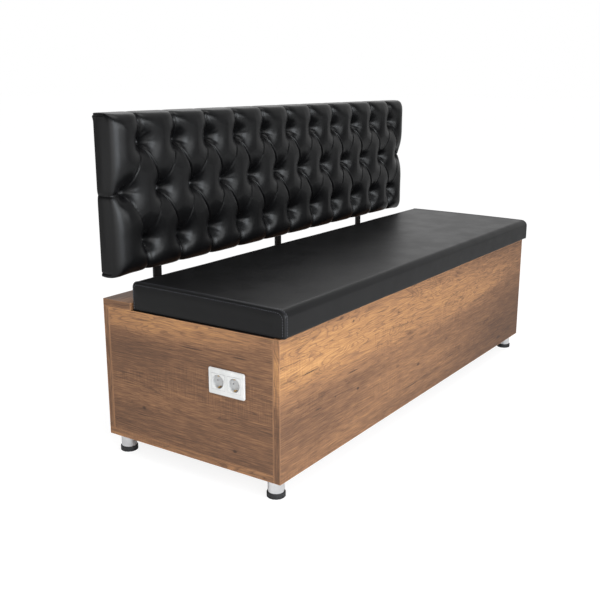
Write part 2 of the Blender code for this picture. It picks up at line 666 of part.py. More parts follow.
def build_socket():
    """The frame, two modules with earth clips, and the box behind them."""
    size = Vector((SOCKET_FRAME_THICKNESS, SOCKET_FRAME_WIDTH, SOCKET_FRAME_HEIGHT))
    shape = bmesh.new()
    add_box(shape, -size / 2, size / 2)
    corners = [edge for edge in shape.edges if abs(edge.verts[0].co.x - edge.verts[1].co.x) > FIT]
    bmesh.ops.bevel(shape, geom=corners, offset=SOCKET_FRAME_CORNER, segments=CORNER_FACETS,
                    profile=ROUND_PROFILE, affect="EDGES")
    frame = add_part("socket_frame", finish_mesh("socket_frame", shape),
                     (BOX_LEFT - FIT - size.x / 2, SOCKET_Y, SOCKET_Z), WHITE_PLASTIC)
    round_edges(frame, SOCKET_FRAME_EDGE)
    for place, y in MODULE_PLACES.items():
        cut_box(frame, f"socket_window_{place}",
                (BOX_LEFT - BOARD, y - HALF_WINDOW, SOCKET_Z - HALF_WINDOW),
                (BOX_LEFT + BOARD, y + HALF_WINDOW, SOCKET_Z + HALF_WINDOW))
        build_module(place, y)
    box_low = Vector((BOX_LEFT + BACK_BOX_SETBACK, SOCKET_Y - BACK_BOX_WIDTH / 2,
                      SOCKET_Z - BACK_BOX_HEIGHT / 2))
    box_high = Vector((BOX_LEFT + BACK_BOX_DEPTH, SOCKET_Y + BACK_BOX_WIDTH / 2,
                       SOCKET_Z + BACK_BOX_HEIGHT / 2))
    back_box = add_part("socket_back_box", box_mesh("socket_back_box", box_high - box_low),
                        (box_low + box_high) / 2, GREY_PLASTIC)
    wall = Vector((BACK_BOX_WALL, BACK_BOX_WALL, BACK_BOX_WALL))
    room_low = box_low + wall
    room_low.x = box_low.x - BOARD
    cut_box(back_box, "back_box_room", room_low, box_high - wall)
    cut_hole(back_box, "cable_hole", (box_high.x, SOCKET_Y, SOCKET_Z), (1, 0, 0),
             CABLE_HOLE_RADIUS, 4 * BACK_BOX_WALL)


def build_module(place, y):
    """One earthed socket: a round recess with two pin holes and a clip above and below."""
    half = MODULE_SIDE / 2
    floor = MODULE_FACE + RECESS_DEPTH
    module = panel(f"socket_{place}_module", (MODULE_FACE, y - half, SOCKET_Z - half),
                   (MODULE_REAR, y + half, SOCKET_Z + half), WHITE_PLASTIC)
    name = f"socket_{place}_recess"
    recess = rod_mesh(name, (1, 0, 0), RECESS_RADIUS, 2 * RECESS_DEPTH, FINE)
    boolean(module, add_cutter(name, recess, (MODULE_FACE, y, SOCKET_Z)), "DIFFERENCE")
    for side in (-1, 1):
        cut_hole(module, f"socket_{place}_pin_hole_{side}",
                 (floor, y + side * PIN_HOLE_PITCH / 2, SOCKET_Z), (1, 0, 0),
                 PIN_HOLE_RADIUS, 2 * PIN_HOLE_DEPTH)
    strip_low = CLIP_FROM_CENTRE - CLIP_THICKNESS / 2
    strip_high = CLIP_FROM_CENTRE + CLIP_THICKNESS / 2
    half_clip = CLIP_WIDTH / 2
    tip = floor - CLIP_REACH
    tail = MODULE_REAR + FIT
    shape = bmesh.new()
    add_box(shape, (tail, y - half_clip, SOCKET_Z - strip_high),
            (tail + CLIP_THICKNESS, y + half_clip, SOCKET_Z + strip_high))
    name = f"socket_{place}_earth_clip"
    clip = add_part(name, finish_mesh(name, shape), (0, 0, 0), BRASS)
    for side, low, high in (("upper", strip_low, strip_high), ("lower", -strip_high, -strip_low)):
        cut_box(module, f"{name}_{side}_slot",
                (floor - FIT, y - half_clip - FIT, SOCKET_Z + low - FIT),
                (MODULE_REAR + BOARD, y + half_clip + FIT, SOCKET_Z + high + FIT))
        arm = bmesh.new()
        add_box(arm, (tip, y - half_clip, SOCKET_Z + low),
                (tail + CLIP_THICKNESS / 2, y + half_clip, SOCKET_Z + high))
        boolean(clip, add_cutter(f"{name}_{side}_arm", finish_mesh(name, arm), (0, 0, 0)), "UNION")


def main():
    lid = pivot("lid_hinge_axis", (BOX_MIDDLE, HINGE_Y, HINGE_Z))
    build_chest()
    build_seat(lid)
    build_hinges(lid)
    build_backrest()
    build_bars()
    for corner, (x, y) in LEG_PLACES.items():
        build_leg(corner, x, y)
    build_socket()


main()
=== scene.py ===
"""Dresses the storage bench: soft seat and tufted backrest, wood grain, chrome and plastics, on a
pale floor in soft light, seen by the photograph's camera. Metres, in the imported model's frame."""

import math

import bmesh
import bpy
import numpy as np
from mathutils import Matrix, Vector


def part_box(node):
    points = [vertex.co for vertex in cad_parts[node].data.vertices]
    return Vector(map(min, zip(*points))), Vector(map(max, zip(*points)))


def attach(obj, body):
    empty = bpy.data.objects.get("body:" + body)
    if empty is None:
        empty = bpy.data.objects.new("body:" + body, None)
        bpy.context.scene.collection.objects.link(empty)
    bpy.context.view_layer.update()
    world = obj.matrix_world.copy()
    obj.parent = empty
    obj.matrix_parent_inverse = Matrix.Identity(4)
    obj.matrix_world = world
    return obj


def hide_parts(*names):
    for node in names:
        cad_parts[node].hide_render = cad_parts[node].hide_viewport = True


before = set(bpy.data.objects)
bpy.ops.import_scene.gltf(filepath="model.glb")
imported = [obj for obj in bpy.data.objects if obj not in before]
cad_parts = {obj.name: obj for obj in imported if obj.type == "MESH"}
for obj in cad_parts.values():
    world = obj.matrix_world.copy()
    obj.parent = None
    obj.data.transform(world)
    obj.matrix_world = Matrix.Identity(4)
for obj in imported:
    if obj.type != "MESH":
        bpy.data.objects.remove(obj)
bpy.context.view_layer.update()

# Camera, found by fitting the chest's corners in the photograph
CAMERA_PLACE = (-2.2478, -1.3461, 0.9587)
CAMERA_YAW = math.radians(34.205)
CAMERA_PITCH = math.radians(-14.316)
CAMERA_LENS = 52.12

TINY = 1e-6

# Backrest tufts
BUTTON_PITCH = 0.129
ROW_LEVELS = (0.1250, 0.0045, -0.1225)
ROW_SHIFTS = (0.005, 0.005, 0.011)
TOP_PLEAT_LEAN = -0.012
LONG_ROW = 12
BUTTON_RADIUS = 0.009
ARCH_REACH = 0.040
FOLD_ARCH = 0.0025
FOLD_DEPTH = 0.0045
FOLD_SHARP = 0.0015
FOLD_SOFT = 0.0024
FOLD_LIP = 0.0008
TUCK_ARCH = 0.0008
TUCK_DEPTH = 0.0034
TUCK_WIDTH = 0.0020
TUCK_LIP = 0.0014
EDGE_ARCH = 0.009
EDGE_PLEAT_DEPTH = 0.011
EDGE_PLEAT_WIDTH = 0.0046
SIDE_ARCH = 0.005
SIDE_PLEAT_DEPTH = 0.006
SIDE_PLEAT_WIDTH = 0.0025
LIP_FROM_FOLD = 0.0034
LIP_WIDTH = 0.0018
LIP_FADE = 6
PLEAT_START = 0.4
PLEAT_GROWTH = 3
HOLLOW_DEPTH = 0.006
HOLLOW_REACH = 0.042
HOLLOW_POWER = 1.8
WELL_DEPTH = 0.034
WELL_REACH = 0.0170
WELL_FLOOR = 0.007
PUCKER_HEIGHT = 0.0004
PUCKER_FROM_BUTTON = 0.024
PUCKER_WIDTH = 0.012
PUCKER_EVEN = 0.6
PUCKER_TURN = 4.1
PUCKER_WAVES = ((1.0, 9, 1.9), (0.7, 14, -2.7))
PAD_END_ROLL = 0.052
PAD_ROLL = 0.048
PAD_ROLL_DEPTH = 0.034
PAD_ROLL_MOST = 1.1
PAD_TUFT_EASE = 0.55
PAD_SLANT_FADE = 1.6
PAD_CORNER = 0.004
PAD_SAG = 0.002
PAD_SAG_REACH = 0.04
PAD_CORNER_SAG = 0.004
PAD_CORNER_SAG_REACH = 0.035
PAD_EAR = 0.003
PAD_EAR_IN, PAD_EAR_HALF = 0.009, 0.006
PAD_EAR_SHARE = 0.3
PAD_NOTCH = 0.003
PAD_NOTCH_REACH = 0.005
PAD_TUCK_IN, PAD_TUCK_HALF = 0.004, 0.0018
PAD_END_RIM = 0.004
PAD_SIDE_BULGE = 0.0015
PAD_SQUARENESS = 9
PAD_STEP = 0.0031
EDGE_CLOSER = 1.4
FINE_CLEAR = 0.3
PAD_FINE_LINES = (-0.0055, -0.0036, -0.0022, -0.0011, 0.0, 0.0008, 0.0017, 0.0028, 0.0041, 0.0056)
PAD_SIDE_RINGS = (0.93, 0.85, 0.7, 0.55, 0.4, 0.27, 0.15, 0.06, 0.03)
PAD_REAR_INSET = 0.02
PAD_REAR_LIFT = 0.0012
BUTTON_PROFILE = ((0.0, 0.0008), (0.35, 0.0007), (0.65, 0.0004), (0.88, -0.0002), (1.0, -0.0012),
                  (0.94, -0.003))
BUTTON_SEGMENTS = 20

# Seat cushion
SEAT_FRONT_FULL = 0.005
SEAT_FRONT_ROLL = 0.020
SEAT_REAR_ROLL = 0.012
SEAT_BOTTOM_ROLL = 0.005
SEAT_FALL = 0.007
SEAT_CROWN = 0.0015
SEAT_CROWN_POWER = 0.7
SEAT_FIRM_HEIGHT = 0.02
SEAT_END_ROLL = 0.0065
SEAT_REAR_CORNER = 0.4
SEAT_END_BULGE = 0.0035
SEAT_END_RINGS = (0.03, 0.08, 0.15, 0.25, 0.37, 0.5, 0.65, 0.8, 0.93)
SEAT_END_LINES = 48
SEAT_NEAR_LINES = np.array((0.001, 0.003, 0.007, 0.014, 0.025))
SEAT_PLAIN_FROM_END = 0.045
SEAT_PLAIN_LINES = 130
SEAT_RIPPLES = ((0.0003, 9.0, 14.0), (0.0002, 23.0, -17.0))
SEAT_RIPPLE_FADE = 0.05
SEAM_RIDGE = 0.0014
SEAM_GROOVE = 0.0016
SEAM_GROOVE_WIDTH = 0.0010
SEAM_ROWS = (-0.0008, 0.0110)
SEAM_REACH = 0.004
STITCH_LENGTH = 0.0044
STITCH_PITCH = 0.0062
STITCH_RADIUS = 0.0008
STITCH_LIFT = 0.0001
STITCHES_FROM_BOTTOM = 0.006
BOARD_ROOM = 0.0183
BOARD_EDGE = 0.0031

# Leatherette
TUFTED_ROUGHNESS = 0.32
SEAT_ROUGHNESS = 0.40
# Where the painted highlight over the sewn bands fades out
SEWN_BAND_HIGHLIGHT = (0.0040, 0.0015)
SHEEN_SWING = 0.03
CREASE_SHARE = 0.6
LEATHER_RELIEF, LEATHER_SPECULAR = (0.00012, 0.3), 0.30

# Lining cloth
THREADS = (6.0, 1400.0)
LINING_LINES = (190, 60)
LINING_WAVE = 0.00025
LINING_WAVE_LENGTH = 0.06
LINING_WAVE_REACH = 0.03
LINING_HEM = 0.0002
LINING_HEM_FROM_EDGE = 0.012
LINING_HEM_HALF = 0.003
LINING_RELIEF = 0.0003
LINING_REAR_ROOM = 0.0004
LINING_FRONT_ROOM = 0.0001

# Noises of the wood laminate: cells to the metre along and across the grain, detail, roughness,
# distortion and shift
GRAIN = {
    "broad": (1.1, 4.5, 2.0, 0.5, 0.4, 0.0),
    "streaks": (2.5, 60.0, 5.0, 0.62, 0.0, 0.0),
    "pores": (16.0, 300.0, 3.0, 0.6, 0.0, 1.3),
    "fibres": (25.0, 650.0, 2.0, 0.5, 0.0, 0.0),
    "field": (4.0, 23.0, 2.0, 0.5, 0.75, 3.1),
    "marked": (3.0, 11.0, 2.0, 0.5, 0.0, -5.0),
    "saw": (430.0, 16.0, 2.0, 0.55, 0.0, 0.0),
    "line": (2.4, 30.0, 4.0, 0.55, 0.5, 9.0),
    "cracked": (5.0, 20.0, 2.0, 0.5, 0.0, 2.0),
}

# Wood laminate: where its rings, saw marks, cracks, patches, marks and knots begin and end, how
# strong they are, and its finish
BROAD_SHARE = 0.28
GRAIN_SHARES = (0.17, 0.30, 0.34)
RINGS = 13.0
RING_EDGE, RING_WHERE, RING_SHARES = (0.55, 1.0), (0.42, 0.58), (0.02, 0.10)
RING_IN_PATCH = 0.5
SAW_WHERE, SAW_SHARES = (0.50, 0.36), (0.02, 0.20)
CRACK_EDGE, CRACK_WHERE, CRACK_SHARE = (0.014, 0.002), (0.52, 0.62), 0.5
PATCH_WAVER, PATCH_EDGE = 0.6, (1.6, 0.5)
MARK_WAVER, MARK_EDGE = 0.9, (1.45, 0.7)
KNOT_CELLS, KNOT_EDGE, KNOT_SHARE = (2.2, 5.5, 5.5), (0.075, 0.02), 0.7
# Pale edge bands: partly the banding's own colour, partly a painted highlight along the board edges
EDGE_BAND_AND_HIGHLIGHT, EDGE_BAND_AND_HIGHLIGHT_SHARE = (0.0028, 0.0010), 0.40
END_DARKER = 0.02
FACES_ALONG = 0.7
# How level a face must be to get the painted shade on the end panels' top edges, under the seat
LEDGE_SHADE_FACING = (FACES_ALONG, 0.9)
WOOD_TONES, WOOD_ROUGHNESS = (0.35, 0.75), (0.58, 0.46)
WOOD_RELIEF, WOOD_SPECULAR = (0.0003, 0.5), 0.40
WOOD_COLOURS = ((0.24, (64, 45, 35)), (0.42, (106, 75, 53)), (0.53, (139, 100, 69)),
                (0.63, (167, 121, 77)), (0.80, (204, 155, 98)))

# Socket plastic: its joint line and the shade in its recess
JOINT_LINE, JOINT_SHARE = (0.0012, 0.0004), 0.45
RECESS_SHADE, RECESS_SHARE = (0.001, 0.009), 0.55

# Paler patches and dark marks of two boards: place, half length and half height, slope on the
# front, and strength. The front's darker patch at its lower right is painted shade.
FRONT_PATCHES_AND_SHADE = (
    (-0.45, 0.325, 1.50, 0.100, 0.0, 0.185),
    # Painted shade: the front board darker towards its lower right
    (0.75, 0.16, 0.70, 0.220, 0.0, -0.09),
    (0.36, 0.28, 0.36, 0.035, 0.11, 0.06),
)
FRONT_MARKS = (
    (-0.633, 0.289, 0.050, 0.0026, 0.0, 0.9),
    (-0.438, 0.235, 0.042, 0.0028, 0.015, 0.85),
    (-0.100, 0.099, 0.070, 0.0034, 0.02, 0.75),
    (-0.020, 0.101, 0.160, 0.0080, 0.0, 0.3),
    (-0.593, 0.184, 0.022, 0.0026, -0.09, 0.75),
    (0.167, 0.118, 0.045, 0.0034, 0.0, 0.65),
    (0.406, 0.170, 0.110, 0.0040, -0.075, 0.5),
    (-0.180, 0.296, 0.075, 0.0026, -0.07, 0.45),
    (-0.408, 0.181, 0.008, 0.0062, 0.0, 0.95),
    (-0.435, 0.369, 0.006, 0.0044, 0.0, 0.85),
    (-0.493, 0.390, 0.014, 0.0070, 0.0, 0.55),
    (-0.190, 0.181, 0.014, 0.0064, 0.0, 0.45),
    (-0.062, 0.151, 0.013, 0.0058, 0.0, 0.75),
    (0.124, 0.182, 0.018, 0.0075, 0.0, 0.5),
    (0.563, 0.079, 0.025, 0.0080, 0.0, 0.75),
    (-0.518, 0.192, 0.005, 0.0040, 0.0, 0.7),
    (-0.194, 0.338, 0.010, 0.0046, 0.0, 0.65),
)
END_PATCHES = (
    (0.12, 0.392, 0.40, 0.055, 0.165),
    (0.10, 0.185, 0.25, 0.040, 0.05),
    (0.25, 0.310, 0.20, 0.035, -0.05),
)
END_MARKS = (
    (0.147, 0.147, 0.009, 0.0060, 0.8),
    (-0.145, 0.100, 0.008, 0.0055, 0.8),
    (-0.022, 0.334, 0.062, 0.0026, 0.8),
    (-0.165, 0.335, 0.036, 0.0026, 0.7),
    (0.153, 0.126, 0.035, 0.0030, 0.6),
    (0.127, 0.380, 0.039, 0.0024, 0.6),
)

# Light
SKY = 0.65
STUDIO_BACK = 0.73
STUDIO_FRONT = 0.05
STUDIO_BACK_WAY = (0.85, 0.45, 0.28)
STUDIO_BACK_EDGE = (0.1, 0.75)
STUDIO_WINDOW = 1.5
STUDIO_DIP = -0.40
WINDOW_LOWER_EDGE = (0.3, 0.5)
WINDOW_FRONT_EDGE = (0.2, 0.4)
FLOOR_SEEN = 0.84
FLOOR_TONE = 0.25
FLOOR_MIRRORED = 0.58
FLOOR_NEAR = 0.75
FLOOR_NEAR_REACH = (0.85, 0.38, 1.0)
FLOOR_NEAR_EASE = (1.0, 1.5)
FLOOR_PLAIN = 0.8
FLOOR_SIZE = 40.0
WHITE = (1.0, 1.0, 1.0)

# Lamps: name, place, aim, width and height, watts, colour
LAMPS = (
    ("front", (-0.3, -3.3, 1.4), (0.0, 0.0, 0.6), (2.8, 1.5), 48.0, (0.95, 0.98, 1.0)),
    ("key", (-2.1, -2.9, 1.05), (-0.7, 0.0, 0.5), (1.6, 1.8), 60.0, (0.90, 0.95, 1.0)),
    ("side", (-3.1, -1.6, 0.9), (-0.7, 0.2, 0.5), (1.7, 1.6), 20.0, WHITE),
    ("left", (-3.4, 0.7, 0.55), (-0.7, 0.2, 0.5), (3.4, 1.0), 10.0, WHITE),
    ("above", (-0.3, -0.6, 3.4), (0.0, 0.0, 0.4), (2.2, 2.2), 36.0, WHITE),
)


def linear(red, green, blue):
    """A display colour, 0 to 255, as linear light."""
    parts = []
    for value in (red, green, blue):
        share = value / 255
        parts.append(share / 12.92 if share <= 0.04045 else ((share + 0.055) / 1.055) ** 2.4)
    return (*parts, 1.0)


def dimmed(colour, share):
    """A darker form of a colour."""
    return (*(part * share for part in colour[:3]), 1.0)


class Nodes:
    """A node tree, with short ways to add to it."""

    def __init__(self, tree):
        self.tree = tree

    def feed(self, socket, value):
        if isinstance(value, bpy.types.NodeSocket):
            self.tree.links.new(value, socket)
        else:
            socket.default_value = value

    def node(self, kind, inputs=None, **settings):
        made = self.tree.nodes.new(kind)
        for key, value in settings.items():
            setattr(made, key, value)
        for key, value in (inputs or {}).items():
            self.feed(made.inputs[key], value)
        return made

    def maths(self, operation, first, second=0.0, third=0.0):
        inputs = {0: first, 1: second, 2: third}
        return self.node("ShaderNodeMath", inputs, operation=operation).outputs[0]

    def between(self, value, low, high, start=0.0, end=1.0):
        """A value eased from one range to another."""
        inputs = {"Value": value, "From Min": low, "From Max": high, "To Min": start, "To Max": end}
        return self.node("ShaderNodeMapRange", inputs, interpolation_type="SMOOTHSTEP").outputs[0]


class Finish(Nodes):
    """A material's nodes, round its one shader."""

    def __init__(self, name):
        self.material = bpy.data.materials.new(name)
        self.material.use_nodes = True
        super().__init__(self.material.node_tree)
        self.shader = self.tree.nodes["Principled BSDF"]
        self.coords = self.node("ShaderNodeTexCoord").outputs["Object"]

    def done(self, colour, roughness, normal, **more):
        """The material, with its shader fed. Other sockets are named with underscores."""
        inputs = {"Base_Color": colour, "Roughness": roughness, "Normal": normal, **more}
        for key, value in inputs.items():
            self.feed(self.shader.inputs[key.replace("_", " ")], value)
        return self.material

    def stretched(self, scale, offset=(0, 0, 0)):
        """Coordinates with so many units to the metre along each axis."""
        inputs = {"Vector": self.coords, "Scale": scale, "Location": offset}
        return self.node("ShaderNodeMapping", inputs).outputs["Vector"]

    def noise(self, scale, detail=2.0, roughness=0.5, distortion=0.0, offset=(0, 0, 0)):
        inputs = {"Vector": self.stretched(scale, offset), "Scale": 1.0, "Detail": detail,
                  "Roughness": roughness, "Distortion": distortion}
        return self.node("ShaderNodeTexNoise", inputs).outputs[0]

    def cells(self, scale, feature="F1"):
        inputs = {"Vector": self.stretched(scale), "Scale": 1.0}
        return self.node("ShaderNodeTexVoronoi", inputs, feature=feature).outputs["Distance"]

    def ramp(self, factor, stops):
        made = self.node("ShaderNodeValToRGB", {"Fac": factor})
        elements = made.color_ramp.elements
        while len(elements) < len(stops):
            elements.new(1.0)
        for element, (place, colour) in zip(elements, stops):
            element.position = place
            element.color = colour
        return made.outputs["Color"]

    def mix(self, factor, first, second):
        inputs = {0: factor, 6: first, 7: second}
        return self.node("ShaderNodeMix", inputs, data_type="RGBA").outputs[2]

    def bump(self, height, distance, strength):
        inputs = {"Height": height, "Distance": distance, "Strength": strength}
        return self.node("ShaderNodeBump", inputs).outputs["Normal"]

    def split(self):
        """The coordinates along X, Y and Z."""
        return self.node("ShaderNodeSeparateXYZ", {"Vector": self.coords}).outputs

    def edge_distance(self, split, low, high, added):
        """How far a point is from a box's nearest side, along the axes in added. What is added to
        an axis, such as one, leaves that axis out."""
        nearest = 1.0
        for axis, more in added.items():
            middle, half = (low[axis] + high[axis]) / 2, (high[axis] - low[axis]) / 2
            off = self.maths("ABSOLUTE", self.maths("SUBTRACT", split[axis], middle))
            inside = self.maths("ADD", self.maths("SUBTRACT", half, off), more)
            nearest = self.maths("MINIMUM", inside, nearest)
        return nearest

    def facing(self):
        """The size of the face normal along X, Y and Z."""
        normal = self.node("ShaderNodeNewGeometry").outputs["True Normal"]
        split = self.node("ShaderNodeSeparateXYZ", {"Vector": normal})
        return [self.maths("ABSOLUTE", split.outputs[axis]) for axis in range(3)]


def wood(name, node, along, shift, tone_shift, patches, marks, rim):
    """Brown oak laminate on a board, with its grain along an axis and turned on the board's ends:
    streaks, growth rings, cracks, saw marks and pale edge bands, which are partly a painted
    highlight along the edges. A patch or a mark is a place, a reach, a slope and how much paler or
    darker it is there; the front's darker patch is painted shade. Rings show most in the paler
    patches, and marks have firm edges. A board without marks has knots. With rim, the edge under
    the seat gets painted shade, darkened where the seat's shadow falls."""
    finish = Finish(name)
    low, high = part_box(node)
    across = sorted((axis for axis in range(3) if axis != along), key=lambda axis: low[axis] - high[axis])
    split = finish.split()
    facing = finish.facing()
    world = finish.coords
    face = finish.node("ShaderNodeCombineXYZ", {0: split[along], 1: split[across[0]], 2: split[across[1]]})
    end = finish.node("ShaderNodeCombineXYZ", {0: split[across[0]], 1: split[along], 2: split[across[1]]})
    on_end = finish.maths("GREATER_THAN", facing[along], FACES_ALONG)
    sides = {0: on_end, 4: face.outputs[0], 5: end.outputs[0]}
    finish.coords = finish.node("ShaderNodeMix", sides, data_type="VECTOR").outputs[1]

    def grain(cells_along, cells_across, detail, roughness, distortion, more):
        """One of the laminate's noises on this board."""
        cells = (cells_along, cells_across, cells_across)
        return finish.noise(cells, detail, roughness, distortion, tuple(part + more for part in shift))

    def spot(place, reach, slope):
        """How far a point is from a place, where one is the edge of its reach."""
        inputs = {"Vector": world, "Location": place, "Rotation": (0.0, -slope, 0.0), "Scale": reach}
        near = finish.node("ShaderNodeMapping", inputs, vector_type="TEXTURE").outputs["Vector"]
        return finish.node("ShaderNodeVectorMath", {0: near}, operation="LENGTH").outputs["Value"]

    noises = (grain(*row) for row in GRAIN.values())
    broad, streaks, pores, fibres, field, marked, saw, line, cracked = noises
    ring = finish.maths("FRACT", finish.maths("MULTIPLY", field, RINGS))
    ring = finish.between(ring, *RING_EDGE)
    tone = finish.maths("MULTIPLY_ADD", broad, BROAD_SHARE, 0.5 - BROAD_SHARE / 2 + tone_shift)
    for part, share in zip((streaks, pores, fibres), GRAIN_SHARES):
        tone = finish.maths("ADD", tone, finish.maths("MULTIPLY_ADD", part, share, -share / 2))
    ring_share = RING_SHARES[0] if patches else finish.between(marked, *RING_WHERE, *RING_SHARES)
    saw_share = finish.between(marked, *SAW_WHERE, *SAW_SHARES)
    saw_tone = finish.maths("MULTIPLY", finish.maths("SUBTRACT", saw, 0.5), saw_share)
    tone = finish.maths("ADD", tone, saw_tone)
    for place, reach, slope, paler in patches:
        far = finish.maths("MULTIPLY_ADD", broad, PATCH_WAVER, spot(place, reach, slope))
        glow = finish.between(far, *PATCH_EDGE)
        tone = finish.maths("MULTIPLY_ADD", glow, paler, tone)
        if paler > 0:
            ring_share = finish.maths("MULTIPLY_ADD", glow, RING_IN_PATCH * paler, ring_share)
    tone = finish.maths("SUBTRACT", tone, finish.maths("MULTIPLY", ring, ring_share))
    tone = finish.maths("MULTIPLY_ADD", on_end, -END_DARKER, tone)
    colour = finish.ramp(tone, [(place, linear(*shade)) for place, shade in WOOD_COLOURS])
    crack = finish.between(finish.maths("ABSOLUTE", finish.maths("SUBTRACT", line, 0.5)), *CRACK_EDGE)
    dark = finish.maths("MULTIPLY", crack, finish.between(cracked, *CRACK_WHERE, 0.0, CRACK_SHARE))
    for place, reach, slope, darker in marks:
        far = finish.maths("MULTIPLY_ADD", pores, MARK_WAVER, spot(place, reach, slope))
        dark = finish.maths("MAXIMUM", dark, finish.between(far, *MARK_EDGE, 0.0, darker))
    if not marks:
        knot = finish.between(finish.cells(KNOT_CELLS), *KNOT_EDGE, 0.0, KNOT_SHARE)
        dark = finish.maths("MAXIMUM", dark, knot)
    colour = finish.mix(dark, colour, linear(52, 36, 29))
    to_edge = finish.edge_distance(split, low, high, dict(enumerate(facing)))
    # Pale edge bands, partly a painted highlight along the board edges
    band = finish.between(to_edge, *EDGE_BAND_AND_HIGHLIGHT, 0.0, EDGE_BAND_AND_HIGHLIGHT_SHARE)
    colour = finish.mix(band, colour, linear(186, 138, 98))
    # Painted shade: the end panels' level faces are darkened, for the top edge in the seat's shadow
    if rim:
        colour = finish.mix(finish.between(facing[2], *LEDGE_SHADE_FACING), colour, linear(44, 33, 26))
    roughness = finish.between(tone, *WOOD_TONES, *WOOD_ROUGHNESS)
    relief = finish.maths("MULTIPLY_ADD", saw, 0.5, finish.maths("MULTIPLY", fibres, 0.5))
    normal = finish.bump(finish.maths("SUBTRACT", relief, dark), *WOOD_RELIEF)
    return finish.done(colour, roughness, normal, Specular_IOR_Level=WOOD_SPECULAR)


def leatherette(name, roughness, sewn=()):
    """Black leatherette: a fine pebbled grain over slow changes of sheen, and a painted highlight,
    paler colour, over the sewn edges at these places along the bench."""
    finish = Finish(name)
    slow = finish.noise((14.0, 14.0, 14.0), 3.0)
    pebble = finish.cells((1150.0, 1150.0, 1150.0), "SMOOTH_F1")
    crease = finish.noise((420.0, 420.0, 420.0), 3.0, 0.6)
    colour = finish.ramp(slow, [(0.35, linear(8, 8, 9)), (0.65, linear(12, 12, 13))])
    split = finish.split()
    # Painted highlight: paler colour over the sewn bands
    for place in sewn:
        away = finish.maths("ABSOLUTE", finish.maths("SUBTRACT", split[0], place))
        colour = finish.mix(finish.between(away, *SEWN_BAND_HIGHLIGHT), colour, linear(20, 20, 23))
    sheen = finish.between(slow, 0.3, 0.7, roughness - SHEEN_SWING, roughness + SHEEN_SWING)
    height = finish.maths("MULTIPLY_ADD", crease, CREASE_SHARE, pebble)
    normal = finish.bump(height, *LEATHER_RELIEF)
    return finish.done(colour, sheen, normal, Specular_IOR_Level=LEATHER_SPECULAR)


def cloth(name, colour):
    """A plain woven cloth."""
    finish = Finish(name)
    along, across = THREADS
    warp = finish.noise((across, along, along), 1.0)
    weft = finish.noise((along, along, across), 1.0)
    weave = finish.maths("MAXIMUM", warp, weft)
    fade = finish.noise((9.0, 9.0, 9.0), 3.0)
    tone = finish.maths("MULTIPLY_ADD", fade, 0.5, finish.maths("MULTIPLY", weave, 0.6))
    shade = finish.ramp(tone, [(0.4, dimmed(colour, 0.5)), (0.75, colour)])
    return finish.done(shade, finish.between(weave, 0.3, 0.8, 0.95, 0.8), finish.bump(weave, 0.0003, 0.6))


def metal(name, colour, roughness, brushed=(60.0, 60.0, 900.0)):
    """A metal with faint drawing marks."""
    finish = Finish(name)
    marks = finish.noise(brushed, 2.0)
    smear = finish.noise((35.0, 35.0, 35.0), 3.0)
    shade = finish.ramp(smear, [(0.3, dimmed(colour, 0.86)), (0.6, colour)])
    dulled = finish.between(finish.maths("ADD", marks, smear), 0.7, 1.3, roughness, roughness * 1.7)
    return finish.done(shade, dulled, finish.bump(marks, 0.00003, 0.4), Metallic=1.0)


def moulded(name, colour, roughness, texture=0.0001):
    """Moulded plastic, rubber or paint with a fine orange-peel surface."""
    finish = Finish(name)
    peel = finish.noise((650.0, 650.0, 650.0), 2.0)
    slow = finish.noise((30.0, 30.0, 30.0), 3.0)
    shade = finish.ramp(slow, [(0.35, dimmed(colour, 0.88)), (0.6, colour)])
    dulled = finish.between(slow, 0.3, 0.7, roughness * 0.85, roughness * 1.15)
    return finish.done(shade, dulled, finish.bump(peel, texture, 0.5))


def plywood(name):
    """Raw plywood with a pale grain."""
    finish = Finish(name)
    grain = finish.noise((2.5, 60.0, 60.0), 4.0, 0.6, 0.4)
    fine = finish.noise((20.0, 500.0, 500.0), 2.0)
    tone = finish.maths("MULTIPLY_ADD", fine, 0.3, finish.maths("MULTIPLY", grain, 0.7))
    shade = finish.ramp(tone, [(0.35, linear(168, 128, 86)), (0.65, linear(206, 170, 124))])
    return finish.done(shade, finish.between(tone, 0.3, 0.7, 0.75, 0.6), finish.bump(fine, 0.0002, 0.4))


def dress(material, names):
    """Gives CAD nodes a finish."""
    for name in names:
        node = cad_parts[name]
        node.data.materials.clear()
        node.data.materials.append(material)


def socket_white(name, node):
    """Glossy white plastic with a fine joint line round its edge and shade inside the recess."""
    finish = Finish(name)
    low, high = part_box(node)
    split = finish.split()
    slow = finish.noise((30.0, 30.0, 30.0), 3.0)
    peel = finish.noise((650.0, 650.0, 650.0), 2.0)
    white = finish.ramp(slow, [(0.35, linear(204, 204, 202)), (0.6, linear(210, 210, 208))])
    to_edge = finish.edge_distance(split, low, high, {1: 0.0, 2: 0.0})
    line = finish.between(to_edge, *JOINT_LINE, 0.0, JOINT_SHARE)
    start, end = (low.x + depth for depth in RECESS_SHADE)
    depth = finish.between(split[0], start, end, 0.0, RECESS_SHARE)
    shade = finish.maths("MAXIMUM", line, depth)
    colour = finish.mix(shade, white, linear(150, 150, 152))
    return finish.done(colour, finish.between(slow, 0.3, 0.7, 0.20, 0.28), finish.bump(peel, 0.00003, 0.4))


